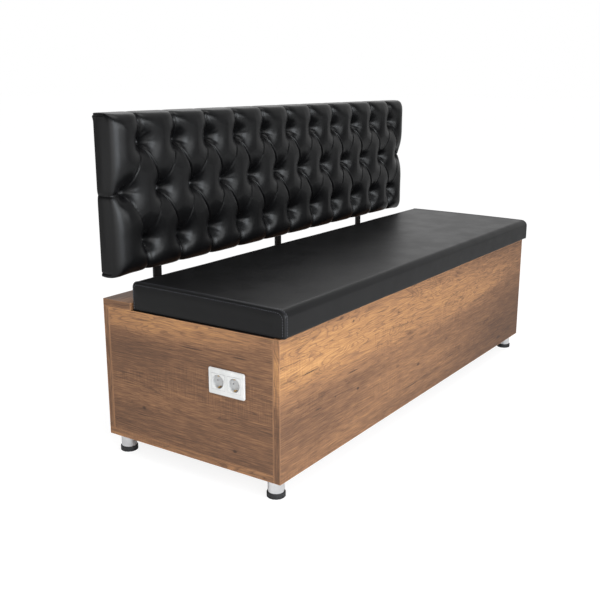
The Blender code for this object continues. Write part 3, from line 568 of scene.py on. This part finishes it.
def dress_cad():
    """Finishes of the CAD nodes that stay in view."""
    nodes = list(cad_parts)
    front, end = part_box("front_panel")[0].y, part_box("left_end_panel")[0].x
    front_patches, front_marks = (
        [((x, front, z), (long, 1.0, high), slope, share) for x, z, long, high, slope, share in spots]
        for spots in (FRONT_PATCHES_AND_SHADE, FRONT_MARKS))
    end_patches, end_marks = (
        [((end, y, z), (1.0, long, high), 0.0, share) for y, z, long, high, share in spots]
        for spots in (END_PATCHES, END_MARKS))
    boards = (
        ("front_panel", 0, (0.0, 0.0, 0.0), -0.05, front_patches, front_marks),
        ("left_end_panel", 1, (1.7, 4.0, 2.3), -0.055, end_patches, end_marks),
        ("right_end_panel", 1, (3.7, 1.0, 6.3), -0.04, (), ()),
        ("bottom_panel", 0, (2.0, 8.0, 3.0), -0.01, (), ()),
        ("back_panel", 0, (7.0, 2.0, 5.0), -0.03, (), ()),
        ("centre_divider", 1, (5.0, 5.0, 0.0), -0.03, (), ()),
        ("rear_top_strip", 0, (4.0, 6.0, 1.0), -0.05, (), ()),
    )
    for node, along, shift, tone_shift, patches, marks in boards:
        # End panels get painted shade on their top edges, under the seat
        rim = node.endswith("end_panel")
        dress(wood(f"{node}_laminate", node, along, shift, tone_shift, patches, marks, rim), [node])
    dress(plywood("raw_plywood"), ["lid_board", "backrest_board"])
    dress(metal("polished_chrome", linear(248, 249, 251), 0.07, (30.0, 30.0, 400.0)),
          [name for name in nodes if name.endswith("_tube")])
    dress(metal("zinc_plate", linear(196, 196, 200), 0.24),
          [name for name in nodes if name.startswith("hinge_") or name.endswith("_stem")])
    dress(metal("earth_brass", linear(214, 170, 84), 0.2), [name for name in nodes if "earth_clip" in name])
    dress(moulded("black_satin_paint", linear(22, 22, 23), 0.42, 0.00015),
          [name for name in nodes if name.startswith("back_bar")])
    dress(moulded("foot_plastic", linear(36, 36, 38), 0.5, 0.0002),
          [name for name in nodes if name.startswith("leg_") and name.endswith(("_base", "_bush"))])
    dress(moulded("frame_white", linear(210, 210, 208), 0.24, 0.00005), ["socket_frame"])
    for node in ("socket_front_module", "socket_rear_module"):
        dress(socket_white(f"{node}_white", node), [node])
    dress(moulded("back_box_grey", linear(120, 122, 124), 0.5), ["socket_back_box"])
    dress(moulded("bumper_rubber", linear(170, 170, 166), 0.6), ["lid_bumper_left", "lid_bumper_right"])


def settle(shape, mesh, material, body):
    """Puts a worked shape in its mesh, as a smooth piece that rides on a body."""
    shape.to_mesh(mesh)
    shape.free()
    mesh.shade_smooth()
    mesh.materials.append(material)
    piece = bpy.data.objects.new(mesh.name, mesh)
    bpy.context.scene.collection.objects.link(piece)
    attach(piece, body)
    return piece


def new_piece(name, points, faces, material, body):
    """A piece from points and faces, with its normals outward."""
    mesh = bpy.data.meshes.new(name)
    mesh.from_pydata([tuple(map(float, point)) for point in points], [], faces)
    shape = bmesh.new()
    shape.from_mesh(mesh)
    bmesh.ops.recalc_face_normals(shape, faces=shape.faces)
    return settle(shape, mesh, material, body)


def grid_faces(rows, columns, wrap=False, first=0):
    """Squares between the points of a grid, laid row by row."""
    faces = []
    across = columns if wrap else columns - 1
    for row in range(rows - 1):
        here = first + row * columns
        for column in range(across):
            after = (column + 1) % columns
            faces.append((here + column, here + after, here + columns + after, here + columns + column))
    return faces


def grid_border(rows, columns):
    """The points round the edge of a grid, in order."""
    border = list(range(columns))
    border += [row * columns + columns - 1 for row in range(1, rows)]
    border += [(rows - 1) * columns + column for column in range(columns - 2, -1, -1)]
    border += [row * columns for row in range(rows - 2, 0, -1)]
    return border


def bridge(faces, loop, first):
    """Adds faces between a loop of points and as many new ones from a first number: the new loop."""
    fresh = list(range(first, first + len(loop)))
    for i in range(len(loop)):
        after = (i + 1) % len(loop)
        faces.append((loop[i], loop[after], fresh[after], fresh[i]))
    return fresh


def bell(value, middle, width):
    """A smooth hump."""
    return np.exp(-((value - middle) / width) ** 2)


def button_rows():
    """Button places on the backrest's face: a long row between two that are one shorter."""
    rows = []
    for count, level, shift in zip((LONG_ROW - 1, LONG_ROW, LONG_ROW - 1), ROW_LEVELS, ROW_SHIFTS):
        first = shift - (count - 1) / 2 * BUTTON_PITCH
        rows.append([(first + i * BUTTON_PITCH, level) for i in range(count)])
    return rows


def pleat_lines(half_u, half_v):
    """Pleats as start, end, arch, depth, and the widths and lips to the left and right of the run."""
    upper, middle, lower = button_rows()
    fold = (FOLD_ARCH, FOLD_DEPTH, (FOLD_SHARP, FOLD_SOFT), (FOLD_LIP, 0.0))
    tuck = (TUCK_ARCH, TUCK_DEPTH, (TUCK_WIDTH, TUCK_WIDTH), (TUCK_LIP, TUCK_LIP))
    plain = (EDGE_ARCH, EDGE_PLEAT_DEPTH, (EDGE_PLEAT_WIDTH, EDGE_PLEAT_WIDTH), (0.0, 0.0))
    side = (SIDE_ARCH, SIDE_PLEAT_DEPTH, (SIDE_PLEAT_WIDTH, SIDE_PLEAT_WIDTH), (0.0, 0.0))
    lines = []
    for i in range(LONG_ROW - 1):
        lines.append((upper[i], middle[i + 1], *fold))
        lines.append((middle[i], lower[i], *fold))
        lines.append((middle[i], upper[i], *tuck))
        lines.append((lower[i], middle[i + 1], *tuck))
        lines.append((upper[i], (upper[i][0] + TOP_PLEAT_LEAN, half_v), *plain))
        lines.append((lower[i], (lower[i][0], -half_v), *plain))
    lines.append((middle[0], (-half_u, 0.0), *side))
    lines.append((middle[-1], (half_u, 0.0), *side))
    return lines


def roll_off(distance, radius):
    """How far a surface has rolled off at a distance from its edge."""
    short = np.clip(radius - distance, 0.0, radius)
    return radius - np.sqrt(radius * radius - short * short)


def edge_steps(half, roll, step, fine=()):
    """Grid lines over a width: even, closer and closer in the rolled edges, with extra fine ones."""
    inner = half - roll
    even = np.linspace(0.0, inner, round(inner / step) + 1)
    turn = np.linspace(0.0, math.pi / 2, round(roll / step * EDGE_CLOSER) + 1)[1:]
    side = np.concatenate([even, inner + roll * np.sin(turn)])
    lines = np.concatenate([-side[:0:-1], side])
    if len(fine):
        clear = np.abs(lines[:, None] - np.asarray(fine)[None, :]).min(1) > step * FINE_CLEAR
        lines = np.sort(np.concatenate([lines[clear], fine]))
    return lines


def tuft_drop(u, v, half_u, half_v):
    """How far the pleats and buttons pull the backrest's face in, and how near a pleat is. A pleat
    deepens as it leaves its first button."""
    nearest = np.full(u.shape, 1.0)
    crease, arch, lip = (np.zeros(u.shape) for _ in range(3))
    for (ax, ay), (bx, by), rise, depth, widths, lips in pleat_lines(half_u, half_v):
        run_x, run_y = bx - ax, by - ay
        along = ((u - ax) * run_x + (v - ay) * run_y) / (run_x ** 2 + run_y ** 2)
        on_line = np.clip(along, 0.0, 1.0)
        distance = np.hypot(u - ax - on_line * run_x, v - ay - on_line * run_y)
        on_left = run_x * (v - ay) - run_y * (u - ax) > 0
        grown = PLEAT_START + (1 - PLEAT_START) * np.clip(along * PLEAT_GROWTH, 0.0, 1.0)
        crease = np.maximum(crease, depth * grown * np.exp(-distance / np.where(on_left, *widths)))
        arch = np.maximum(arch, rise * grown * (1 - np.clip(distance / ARCH_REACH, 0.0, 1.0)) ** 2)
        window = np.clip(np.minimum(along, 1 - along) * LIP_FADE, 0.0, 1.0)
        lip = np.maximum(lip, np.where(on_left, *lips) * window * bell(distance, LIP_FROM_FOLD, LIP_WIDTH))
        nearest = np.minimum(nearest, distance)
    hollow, pucker = np.zeros(u.shape), np.zeros(u.shape)
    for number, (x, y) in enumerate(sum(button_rows(), [])):
        away = np.hypot(u - x, v - y)
        turn = np.arctan2(v - y, u - x)
        well = WELL_DEPTH * np.exp(-np.maximum(away - WELL_FLOOR, 0.0) / WELL_REACH)
        hollow = np.maximum(hollow, HOLLOW_DEPTH * np.exp(-(away / HOLLOW_REACH) ** HOLLOW_POWER) + well)
        waves = sum(share * np.cos(count * turn + number * step) for share, count, step in PUCKER_WAVES)
        waves *= PUCKER_EVEN + (1 - PUCKER_EVEN) * np.sin(2 * turn + number * PUCKER_TURN)
        pucker += PUCKER_HEIGHT * waves * bell(away, PUCKER_FROM_BUTTON, PUCKER_WIDTH)
    return crease + arch + hollow + pucker - lip, nearest


def face_form(u, v, half_u, half_v, thick):
    """The backrest face's height over its rear, how near a pleat is, and how far it has rolled off."""
    drop, nearest = tuft_drop(u, v, half_u, half_v)
    end_roll = roll_off(half_u - np.abs(u), PAD_END_ROLL) / PAD_END_ROLL
    long_roll = roll_off(half_v - np.abs(v), PAD_ROLL) / PAD_ROLL
    rolled = np.minimum(np.hypot(end_roll, long_roll), PAD_ROLL_MOST)
    roll = rolled * PAD_ROLL_DEPTH
    rolled = np.minimum(rolled, 1.0)
    return thick - roll - drop * (1 - PAD_TUFT_EASE * rolled), nearest, rolled


def rounded(u, v, half_u, half_v, radius):
    """Pulls the points of a corner in onto its rounding."""
    over_u = np.abs(u) - (half_u - radius)
    over_v = np.abs(v) - (half_v - radius)
    reach = np.hypot(over_u, over_v)
    corner = (over_u > 0) & (over_v > 0) & (reach > radius)
    pull = np.where(corner, radius / np.maximum(reach, TINY), 1.0)
    new_u = np.where(corner, np.sign(u) * (half_u - radius + over_u * pull), u)
    new_v = np.where(corner, np.sign(v) * (half_v - radius + over_v * pull), v)
    return new_u, new_v


def build_backrest(material):
    """The tufted pad: a fine grid for its face, rings down its sides and a flat rear. The grid
    slants with the folds, so that they stay sharp."""
    low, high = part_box("backrest_pad")
    half_u, half_v = (high.x - low.x) / 2, (high.z - low.z) / 2
    thick = high.y - low.y
    centre = Vector(((low.x + high.x) / 2, high.y, (low.z + high.z) / 2))
    upper, middle, lower = button_rows()
    folds = [place[0] for place in middle[1:-1]]
    fine = np.add.outer(folds, PAD_FINE_LINES).ravel()
    us = edge_steps(half_u, PAD_END_ROLL, PAD_STEP, fine)
    vs = edge_steps(half_v, PAD_ROLL, PAD_STEP)
    u, v = np.meshgrid(us, vs)
    fade = np.clip((half_u - np.abs(u)) / (PAD_SLANT_FADE * BUTTON_PITCH), 0.0, 1.0)
    above, below = ROW_LEVELS[0] - ROW_LEVELS[1], ROW_LEVELS[1] - ROW_LEVELS[2]
    level = v - ROW_LEVELS[1]
    lean = np.where(level > 0, (middle[1][0] - upper[0][0]) / above, (lower[0][0] - middle[0][0]) / below)
    u = u - np.clip(level, -below, above) * lean * fade * fade * (3 - 2 * fade)
    height, nearest, rolled = face_form(u, v, half_u, half_v, thick)
    notch = PAD_NOTCH * rolled * np.exp(-nearest / PAD_NOTCH_REACH)
    x, z = rounded(u, v, half_u, half_v, PAD_CORNER)
    x = x * (half_u - notch) / half_u
    z = z * (half_v - notch) / half_v
    sag = PAD_SAG + PAD_CORNER_SAG * bell(half_u - np.abs(u), 0.0, PAD_CORNER_SAG_REACH)
    z = z - sag * bell(v + half_v, 0.0, PAD_SAG_REACH)
    rows, columns = u.shape
    points = np.stack([x, height, z], -1).reshape(-1, 3)
    border = grid_border(rows, columns)
    faces = grid_faces(rows, columns)
    rim = points[border]
    outward = np.stack([rim[:, 0] / half_u, np.zeros(len(rim)), rim[:, 2] / half_v], -1)
    outward **= PAD_SQUARENESS
    outward /= np.maximum(np.linalg.norm(outward, axis=1, keepdims=True), TINY)
    at_end = np.abs(rim[:, 0]) > half_u - PAD_END_RIM
    tucked = PAD_NOTCH * bell(np.abs(rim[:, 2]), half_v - PAD_TUCK_IN, PAD_TUCK_HALF) * at_end
    ear = PAD_EAR * bell(rim[:, 2], half_v - PAD_EAR_IN, PAD_EAR_HALF) * at_end
    rings = []
    for share in PAD_SIDE_RINGS:
        ring = rim + outward * PAD_SIDE_BULGE * math.sin(math.pi * share)
        ring[:, 0] += np.sign(rim[:, 0]) * (ear * max(0.0, 1 - share / PAD_EAR_SHARE) - tucked)
        ring[:, 1] = rim[:, 1] * share
        rings.append(ring)
    rear = rim * np.array([1 - PAD_REAR_INSET / half_u, 1.0, 1 - PAD_REAR_INSET / half_v])
    rear[:, 1] = PAD_REAR_LIFT
    rings.append(rear)
    loop = border
    for number in range(len(rings)):
        loop = bridge(faces, loop, len(points) + number * len(border))
    faces.append(tuple(loop))
    points = np.concatenate([points] + rings)
    world = np.stack([centre.x + points[:, 0], centre.y - points[:, 1], centre.z + points[:, 2]], -1)
    pad = new_piece("backrest_cover", world, faces, material, "chest")
    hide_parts("backrest_pad")
    places = np.array(sum(button_rows(), []))
    depths = face_form(places[:, 0], places[:, 1], half_u, half_v, thick)[0]
    return [Vector((centre.x + x, centre.y - y, centre.z + z)) for (x, z), y in zip(places, depths)]


def build_buttons(places, material):
    """Covered buttons at the bottom of the tufts, as one piece."""
    shape = bmesh.new()
    for place in places:
        rings = []
        for share, rise in BUTTON_PROFILE[1:]:
            ring = []
            for i in range(BUTTON_SEGMENTS):
                turn = 2 * math.pi * i / BUTTON_SEGMENTS
                reach = BUTTON_RADIUS * share
                off = Vector((reach * math.cos(turn), -rise, reach * math.sin(turn)))
                ring.append(shape.verts.new(place + off))
            rings.append(ring)
        crown = shape.verts.new(place - Vector((0.0, BUTTON_PROFILE[0][1], 0.0)))
        for i in range(BUTTON_SEGMENTS):
            after = (i + 1) % BUTTON_SEGMENTS
            shape.faces.new((crown, rings[0][i], rings[0][after]))
            for outer, inner in zip(rings[1:], rings):
                shape.faces.new((inner[i], outer[i], outer[after], inner[after]))
        shape.faces.new(list(reversed(rings[-1])))
    bmesh.ops.recalc_face_normals(shape, faces=shape.faces)
    piece = settle(shape, bpy.data.meshes.new("backrest_buttons"), material, "chest")


def arc(centre_y, centre_z, radius, start, end, count):
    """Points on part of a circle."""
    turns = np.radians(np.linspace(start, end, count))
    return np.stack([centre_y + radius * np.cos(turns), centre_z + radius * np.sin(turns)], -1)


def seat_section(low, high):
    """The cushion's section, from the middle of its underside round by the front and over the
    top: points, outward normals, and which of them lie under the board."""
    front, rear, small = SEAT_FRONT_ROLL, SEAT_REAR_ROLL, SEAT_BOTTOM_ROLL
    y0, y1, z0, z1 = low.y, high.y, low.z, high.z
    middle = (y0 + y1) / 2

    def line(start, end, count):
        return np.linspace(start, end, count)[1:-1]

    # The last number of each part is its count of points
    parts = [
        line((middle, z0), (y0 + small, z0), 12),
        arc(y0 + small, z0 + small, small, 270, 180, 6),
        line((y0, z0 + small), (y0, z1 - front), 14),
        arc(y0 + front, z1 - front, front, 180, 90, 16),
        line((y0 + front, z1), (y1 - rear, z1), 90),
        arc(y1 - rear, z1 - rear, rear, 90, 0, 10),
        line((y1, z1 - rear), (y1, z0 + small), 14),
        arc(y1 - small, z0 + small, small, 0, -90, 6),
        line((y1 - small, z0), (middle, z0), 12),
    ]
    points = np.concatenate(parts)
    share = np.clip((points[:, 0] - y0) / (y1 - y0), 0.0, 1.0)
    raised = np.clip((points[:, 1] - z0 - SEAT_FIRM_HEIGHT) / (z1 - z0 - SEAT_FIRM_HEIGHT), 0.0, 1.0)
    dome = SEAT_CROWN * np.sin(math.pi * share) ** SEAT_CROWN_POWER
    points[:, 1] += raised * (dome - SEAT_FALL * (1 - share))
    step = np.roll(points, -1, 0) - np.roll(points, 1, 0)
    normals = np.stack([-step[:, 1], step[:, 0]], -1)
    normals /= np.linalg.norm(normals, axis=1, keepdims=True)
    under = points[:, 1] < z0 + TINY
    inside = under & (points[:, 0] > y0 + BOARD_EDGE) & (points[:, 0] < y1 - BOARD_EDGE)
    return points, normals, inside


def front_out(x, y, low, high):
    """How far the cushion's front stands out: most at the left end, and nothing at the right."""
    middle = (low.y + high.y) / 2
    forward = np.clip((middle - y) / (middle - low.y), 0.0, 1.0)
    return SEAT_FRONT_FULL * (high.x - x) / (high.x - low.x) * forward


def seam_relief(travel):
    """The sewn band round an end: a low ridge between two grooves."""
    first, last = SEAM_ROWS
    share = min(max((travel - first) / (last - first), 0.0), 1.0)
    grooves = sum(math.exp(-((travel - row) / SEAM_GROOVE_WIDTH) ** 2) for row in SEAM_ROWS)
    return SEAM_RIDGE * math.sin(math.pi * share) ** 0.5 - SEAM_GROOVE * grooves


def end_ring(low, high, points, normals, travel, lift):
    """The section where it has travelled so far round the rolled edge of an end: y and z, how far
    in from the end it is, and how much the ring faces along the bench."""
    quarter = SEAT_END_ROLL * math.pi / 2
    turn = min(max(travel, 0.0), quarter) / SEAT_END_ROLL
    inset = SEAT_END_ROLL * (1 - math.cos(turn)) + max(travel - quarter, 0.0)
    middle_y, half_y = (low.y + high.y) / 2, (high.y - low.y) / 2
    ring = points + normals * lift * math.cos(turn)
    corner = np.where(ring[:, 0] > middle_y, SEAT_REAR_CORNER, 1.0)
    ring[:, 0] = middle_y + (ring[:, 0] - middle_y) * (1 - inset * corner / half_y)
    ring[:, 1] = low.z + (ring[:, 1] - low.z) * (1 - inset / (high.z - low.z))
    place = SEAT_END_ROLL * (1 - math.sin(turn)) + max(-travel, 0.0) - lift * math.sin(turn)
    return ring, place, math.sin(turn)


def build_seat(low, high, material):
    """The seat cushion: its section run along the bench, with rolled and sewn ends."""
    points, normals, inside = seat_section(low, high)
    left, right = low.x, high.x
    length = right - left
    travels = np.linspace(-SEAM_REACH, SEAT_END_ROLL * math.pi / 2 + SEAM_REACH, SEAT_END_LINES)
    rows = []
    for travel in travels[::-1]:
        ring, x, _ = end_ring(low, high, points, normals, travel, seam_relief(travel))
        if x > BOARD_EDGE:
            ring[inside, 1] = low.z + BOARD_ROOM
        rows.append(np.column_stack([np.full(len(ring), left + x), ring]))
    near = SEAT_END_ROLL + SEAM_REACH + SEAT_NEAR_LINES
    plain = np.linspace(SEAT_PLAIN_FROM_END, length - SEAT_PLAIN_FROM_END, SEAT_PLAIN_LINES)
    for offset in np.concatenate([near, plain, length - near[::-1]]):
        x = left + offset
        waves = (rise * np.sin(along * x + across * points[:, 0]) for rise, along, across in SEAT_RIPPLES)
        ripple = sum(waves) * (min(offset, length - offset, SEAT_RIPPLE_FADE) / SEAT_RIPPLE_FADE)
        section = points + normals * np.where(inside, 0.0, ripple)[:, None]
        section[inside, 1] = low.z + BOARD_ROOM
        rows.append(np.column_stack([np.full(len(points), x), section]))
    for row in rows[len(travels) - 1::-1]:
        mirrored = row.copy()
        mirrored[:, 0] = left + right - row[:, 0]
        rows.append(mirrored)
    columns = len(points)
    body = np.concatenate(rows)
    faces = grid_faces(len(rows), columns, wrap=True)
    count = len(body)
    extra = []
    for end, outward in ((0, -1), (len(rows) - 1, 1)):
        edge = rows[end]
        half = (edge[:, 1:].max(0) - edge[:, 1:].min(0)) / 2
        middle = (edge[:, 1:].max(0) + edge[:, 1:].min(0)) / 2
        loop = list(range(end * columns, (end + 1) * columns))
        for share in SEAT_END_RINGS:
            inset = share * half[1]
            ring = edge.copy()
            ring[:, 0] += outward * SEAT_END_BULGE * (1 - (1 - share) ** 2)
            ring[:, 1:] = middle + (edge[:, 1:] - middle) * (1 - inset / half)
            loop = bridge(faces, loop, count)
            count += columns
            extra.append(ring)
        faces.append(tuple(loop))
    body = np.concatenate([body] + extra)
    body[:, 1] -= front_out(body[:, 0], body[:, 1], low, high)
    cushion = new_piece("seat_cover", body, faces, material, "lid")
    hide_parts("seat_cushion")
    return points, normals


def stitch(shape, place, along, normal):
    """One sewn stitch, a small rounded bar lying in its groove."""
    along = along.normalized()
    normal = (normal - along * normal.dot(along)).normalized()
    turn = Matrix((along, normal.cross(along), normal)).transposed().to_4x4()
    size = Matrix.Diagonal((STITCH_LENGTH / 2, STITCH_RADIUS, STITCH_RADIUS, 1.0))
    bmesh.ops.create_uvsphere(shape, u_segments=8, v_segments=5, radius=1.0,
                              matrix=Matrix.Translation(place) @ turn @ size)


def build_stitching(low, high, points, normals, material):
    """Two rows of stitches round each end, on both sides of the sewn band."""
    shape = bmesh.new()
    left, right = low.x, high.x
    from_start = np.abs(points - (low.y, low.z + STITCHES_FROM_BOTTOM)).sum(1)
    start = int(np.argmin(from_start))
    end = len(points) - start
    for travel in SEAM_ROWS:
        ring, x, along_bench = end_ring(low, high, points, normals, travel, STITCH_LIFT)
        path, facing = ring[start:end], normals[start:end]
        travelled = np.concatenate([[0.0], np.cumsum(np.linalg.norm(np.diff(path, axis=0), axis=1))])
        for place in np.arange(STITCH_PITCH / 2, travelled[-1], STITCH_PITCH):
            y, z = (np.interp(place, travelled, path[:, axis]) for axis in range(2))
            ny, nz = (np.interp(place, travelled, facing[:, axis]) for axis in range(2))
            across = math.sqrt(1 - along_bench ** 2) / math.hypot(ny, nz)
            for end_x, inward in ((left + x, 1), (right - x, -1)):
                normal = Vector((-inward * along_bench, ny * across, nz * across))
                place_y = y - front_out(end_x, y, low, high)
                stitch(shape, Vector((end_x, place_y, z)), Vector((0.0, -nz, ny)), normal)
    piece = settle(shape, bpy.data.meshes.new("seat_stitching"), material, "lid")


def build_lining(material):
    """The cloth on the backrest's rear, pulled tight and hemmed."""
    low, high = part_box("backrest_lining")
    us = np.linspace(low.x, high.x, LINING_LINES[0])
    vs = np.linspace(low.z, high.z, LINING_LINES[1])
    x, z = np.meshgrid(us, vs)
    to_edge = np.minimum(np.minimum(x - low.x, high.x - x), np.minimum(z - low.z, high.z - z))
    pull = LINING_WAVE * np.sin(x * 2 * math.pi / LINING_WAVE_LENGTH) * np.exp(-to_edge / LINING_WAVE_REACH)
    hem = LINING_HEM * np.clip(1 - np.abs(to_edge - LINING_HEM_FROM_EDGE) / LINING_HEM_HALF, 0, 1)
    y = high.y - LINING_REAR_ROOM + np.clip(pull + hem, -LINING_RELIEF, LINING_RELIEF)
    front = np.stack([x, np.full(x.shape, low.y + LINING_FRONT_ROOM), z], -1).reshape(-1, 3)
    rear = np.stack([x, y, z], -1).reshape(-1, 3)
    rows, columns = x.shape
    shift = rows * columns
    faces = grid_faces(rows, columns)
    faces += [tuple(reversed(face)) for face in grid_faces(rows, columns, first=shift)]
    border = grid_border(rows, columns)
    for i, here in enumerate(border):
        after = border[(i + 1) % len(border)]
        faces.append((here, after, after + shift, here + shift))
    piece = new_piece("backrest_lining_cloth", np.concatenate([front, rear]), faces, material, "chest")
    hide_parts("backrest_lining")


def by_ray(nodes, output, plain, mirrored, seen):
    """Shows one shader in reflections, one to the camera and a plain one to other rays."""
    path = nodes.node("ShaderNodeLightPath").outputs
    shown = nodes.node("ShaderNodeMixShader", {0: path["Is Glossy Ray"], 1: plain, 2: mirrored}).outputs[0]
    straight = nodes.maths("MAXIMUM", path["Is Camera Ray"], path["Is Transmission Ray"])
    shown = nodes.node("ShaderNodeMixShader", {0: straight, 1: shown, 2: seen}).outputs[0]
    nodes.node(output, {"Surface": shown})


def stage_material():
    """The floor: white to the camera but for the bench's shadow, and a plain pale grey to other
    rays. In reflections it is paler near the bench than further off."""
    material = bpy.data.materials.new("pale_floor")
    material.use_nodes = True
    material.node_tree.nodes.clear()
    nodes = Nodes(material.node_tree)
    place = nodes.node("ShaderNodeNewGeometry").outputs["Position"]
    share = nodes.node("ShaderNodeVectorMath", {0: place, 1: FLOOR_NEAR_REACH}, operation="DIVIDE")
    away = nodes.node("ShaderNodeVectorMath", {0: share.outputs["Vector"]}, operation="LENGTH")
    tone = nodes.between(away.outputs["Value"], *FLOOR_NEAR_EASE, FLOOR_NEAR, FLOOR_MIRRORED)
    colours = (dimmed(WHITE, FLOOR_PLAIN), tone, dimmed(WHITE, FLOOR_TONE))
    plain, mirrored, shaded = (
        nodes.node("ShaderNodeBsdfDiffuse", {"Color": colour}).outputs[0] for colour in colours)
    glow = nodes.node("ShaderNodeEmission", {"Strength": FLOOR_SEEN}).outputs[0]
    lit = nodes.node("ShaderNodeAddShader", {0: shaded, 1: glow}).outputs[0]
    by_ray(nodes, "ShaderNodeOutputMaterial", plain, mirrored, lit)
    return material


def studio_sky():
    """White to the camera and soft light on the bench. In reflections it is bright beyond the bench,
    most of all high up at the rear, and dark in front."""
    sky = bpy.data.worlds.new("studio")
    sky.use_nodes = True
    sky.node_tree.nodes.clear()
    nodes = Nodes(sky.node_tree)
    way = nodes.node("ShaderNodeTexCoord").outputs["Generated"]
    behind = nodes.node("ShaderNodeVectorMath", {0: way, 1: STUDIO_BACK_WAY}, operation="DOT_PRODUCT")
    level = nodes.between(behind.outputs["Value"], *STUDIO_BACK_EDGE, STUDIO_FRONT, STUDIO_BACK)
    split = nodes.node("ShaderNodeSeparateXYZ", {0: way}).outputs
    high_up = nodes.between(split["Z"], *WINDOW_LOWER_EDGE)
    rear = nodes.between(split["Y"], *WINDOW_FRONT_EDGE, STUDIO_DIP, STUDIO_WINDOW)
    window = nodes.maths("MULTIPLY_ADD", high_up, rear, 1.0)
    strengths = (SKY, nodes.maths("MULTIPLY", level, window), 1.0)
    soft, room, white = (
        nodes.node("ShaderNodeBackground", {"Color": (*WHITE, 1.0), "Strength": strength}).outputs[0]
        for strength in strengths)
    by_ray(nodes, "ShaderNodeOutputWorld", soft, room, white)
    return sky


def lamp(name, place, aim, size, power, colour):
    """A soft lamp, so wide and so high, that points at a place."""
    light = bpy.data.lights.new(name, "AREA")
    light.shape = "RECTANGLE"
    light.size, light.size_y = size
    light.energy = power
    light.color = colour
    holder = bpy.data.objects.new(name, light)
    holder.location = place
    holder.rotation_euler = (Vector(aim) - Vector(place)).to_track_quat("-Z", "Y").to_euler()
    bpy.context.scene.collection.objects.link(holder)


def build_studio():
    """Floor, sky, lamps and camera."""
    scene = bpy.context.scene
    scene.view_settings.view_transform = "Standard"
    shape = bmesh.new()
    bmesh.ops.create_grid(shape, x_segments=1, y_segments=1, size=FLOOR_SIZE)
    mesh = bpy.data.meshes.new("floor")
    shape.to_mesh(mesh)
    shape.free()
    mesh.materials.append(stage_material())
    floor = bpy.data.objects.new("floor", mesh)
    scene.collection.objects.link(floor)

    scene.world = studio_sky()
    for row in LAMPS:
        lamp(*row)

    camera = bpy.data.cameras.new("camera")
    camera.lens = CAMERA_LENS
    holder = bpy.data.objects.new("camera", camera)
    holder.location = CAMERA_PLACE
    look = Vector((math.cos(CAMERA_PITCH) * math.cos(CAMERA_YAW),
                   math.cos(CAMERA_PITCH) * math.sin(CAMERA_YAW), math.sin(CAMERA_PITCH)))
    holder.rotation_euler = look.to_track_quat("-Z", "Y").to_euler()
    scene.collection.objects.link(holder)
    scene.camera = holder


def main():
    build_studio()
    dress_cad()
    tufted = leatherette("tufted_leatherette", TUFTED_ROUGHNESS)
    build_buttons(build_backrest(tufted), tufted)
    low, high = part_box("seat_cushion")
    # Places of the painted highlight over the seat's sewn bands
    sewn = (low.x + SEAT_END_ROLL / 2, high.x - SEAT_END_ROLL / 2)
    points, normals = build_seat(low, high, leatherette("seat_leatherette", SEAT_ROUGHNESS, sewn))
    # The black thread is painted grey: its highlights, too fine to show, are painted into its colour
    build_stitching(low, high, points, normals, moulded("black_thread", linear(74, 75, 80), 0.4))
    build_lining(cloth("lining_cloth", linear(34, 34, 35)))


main()
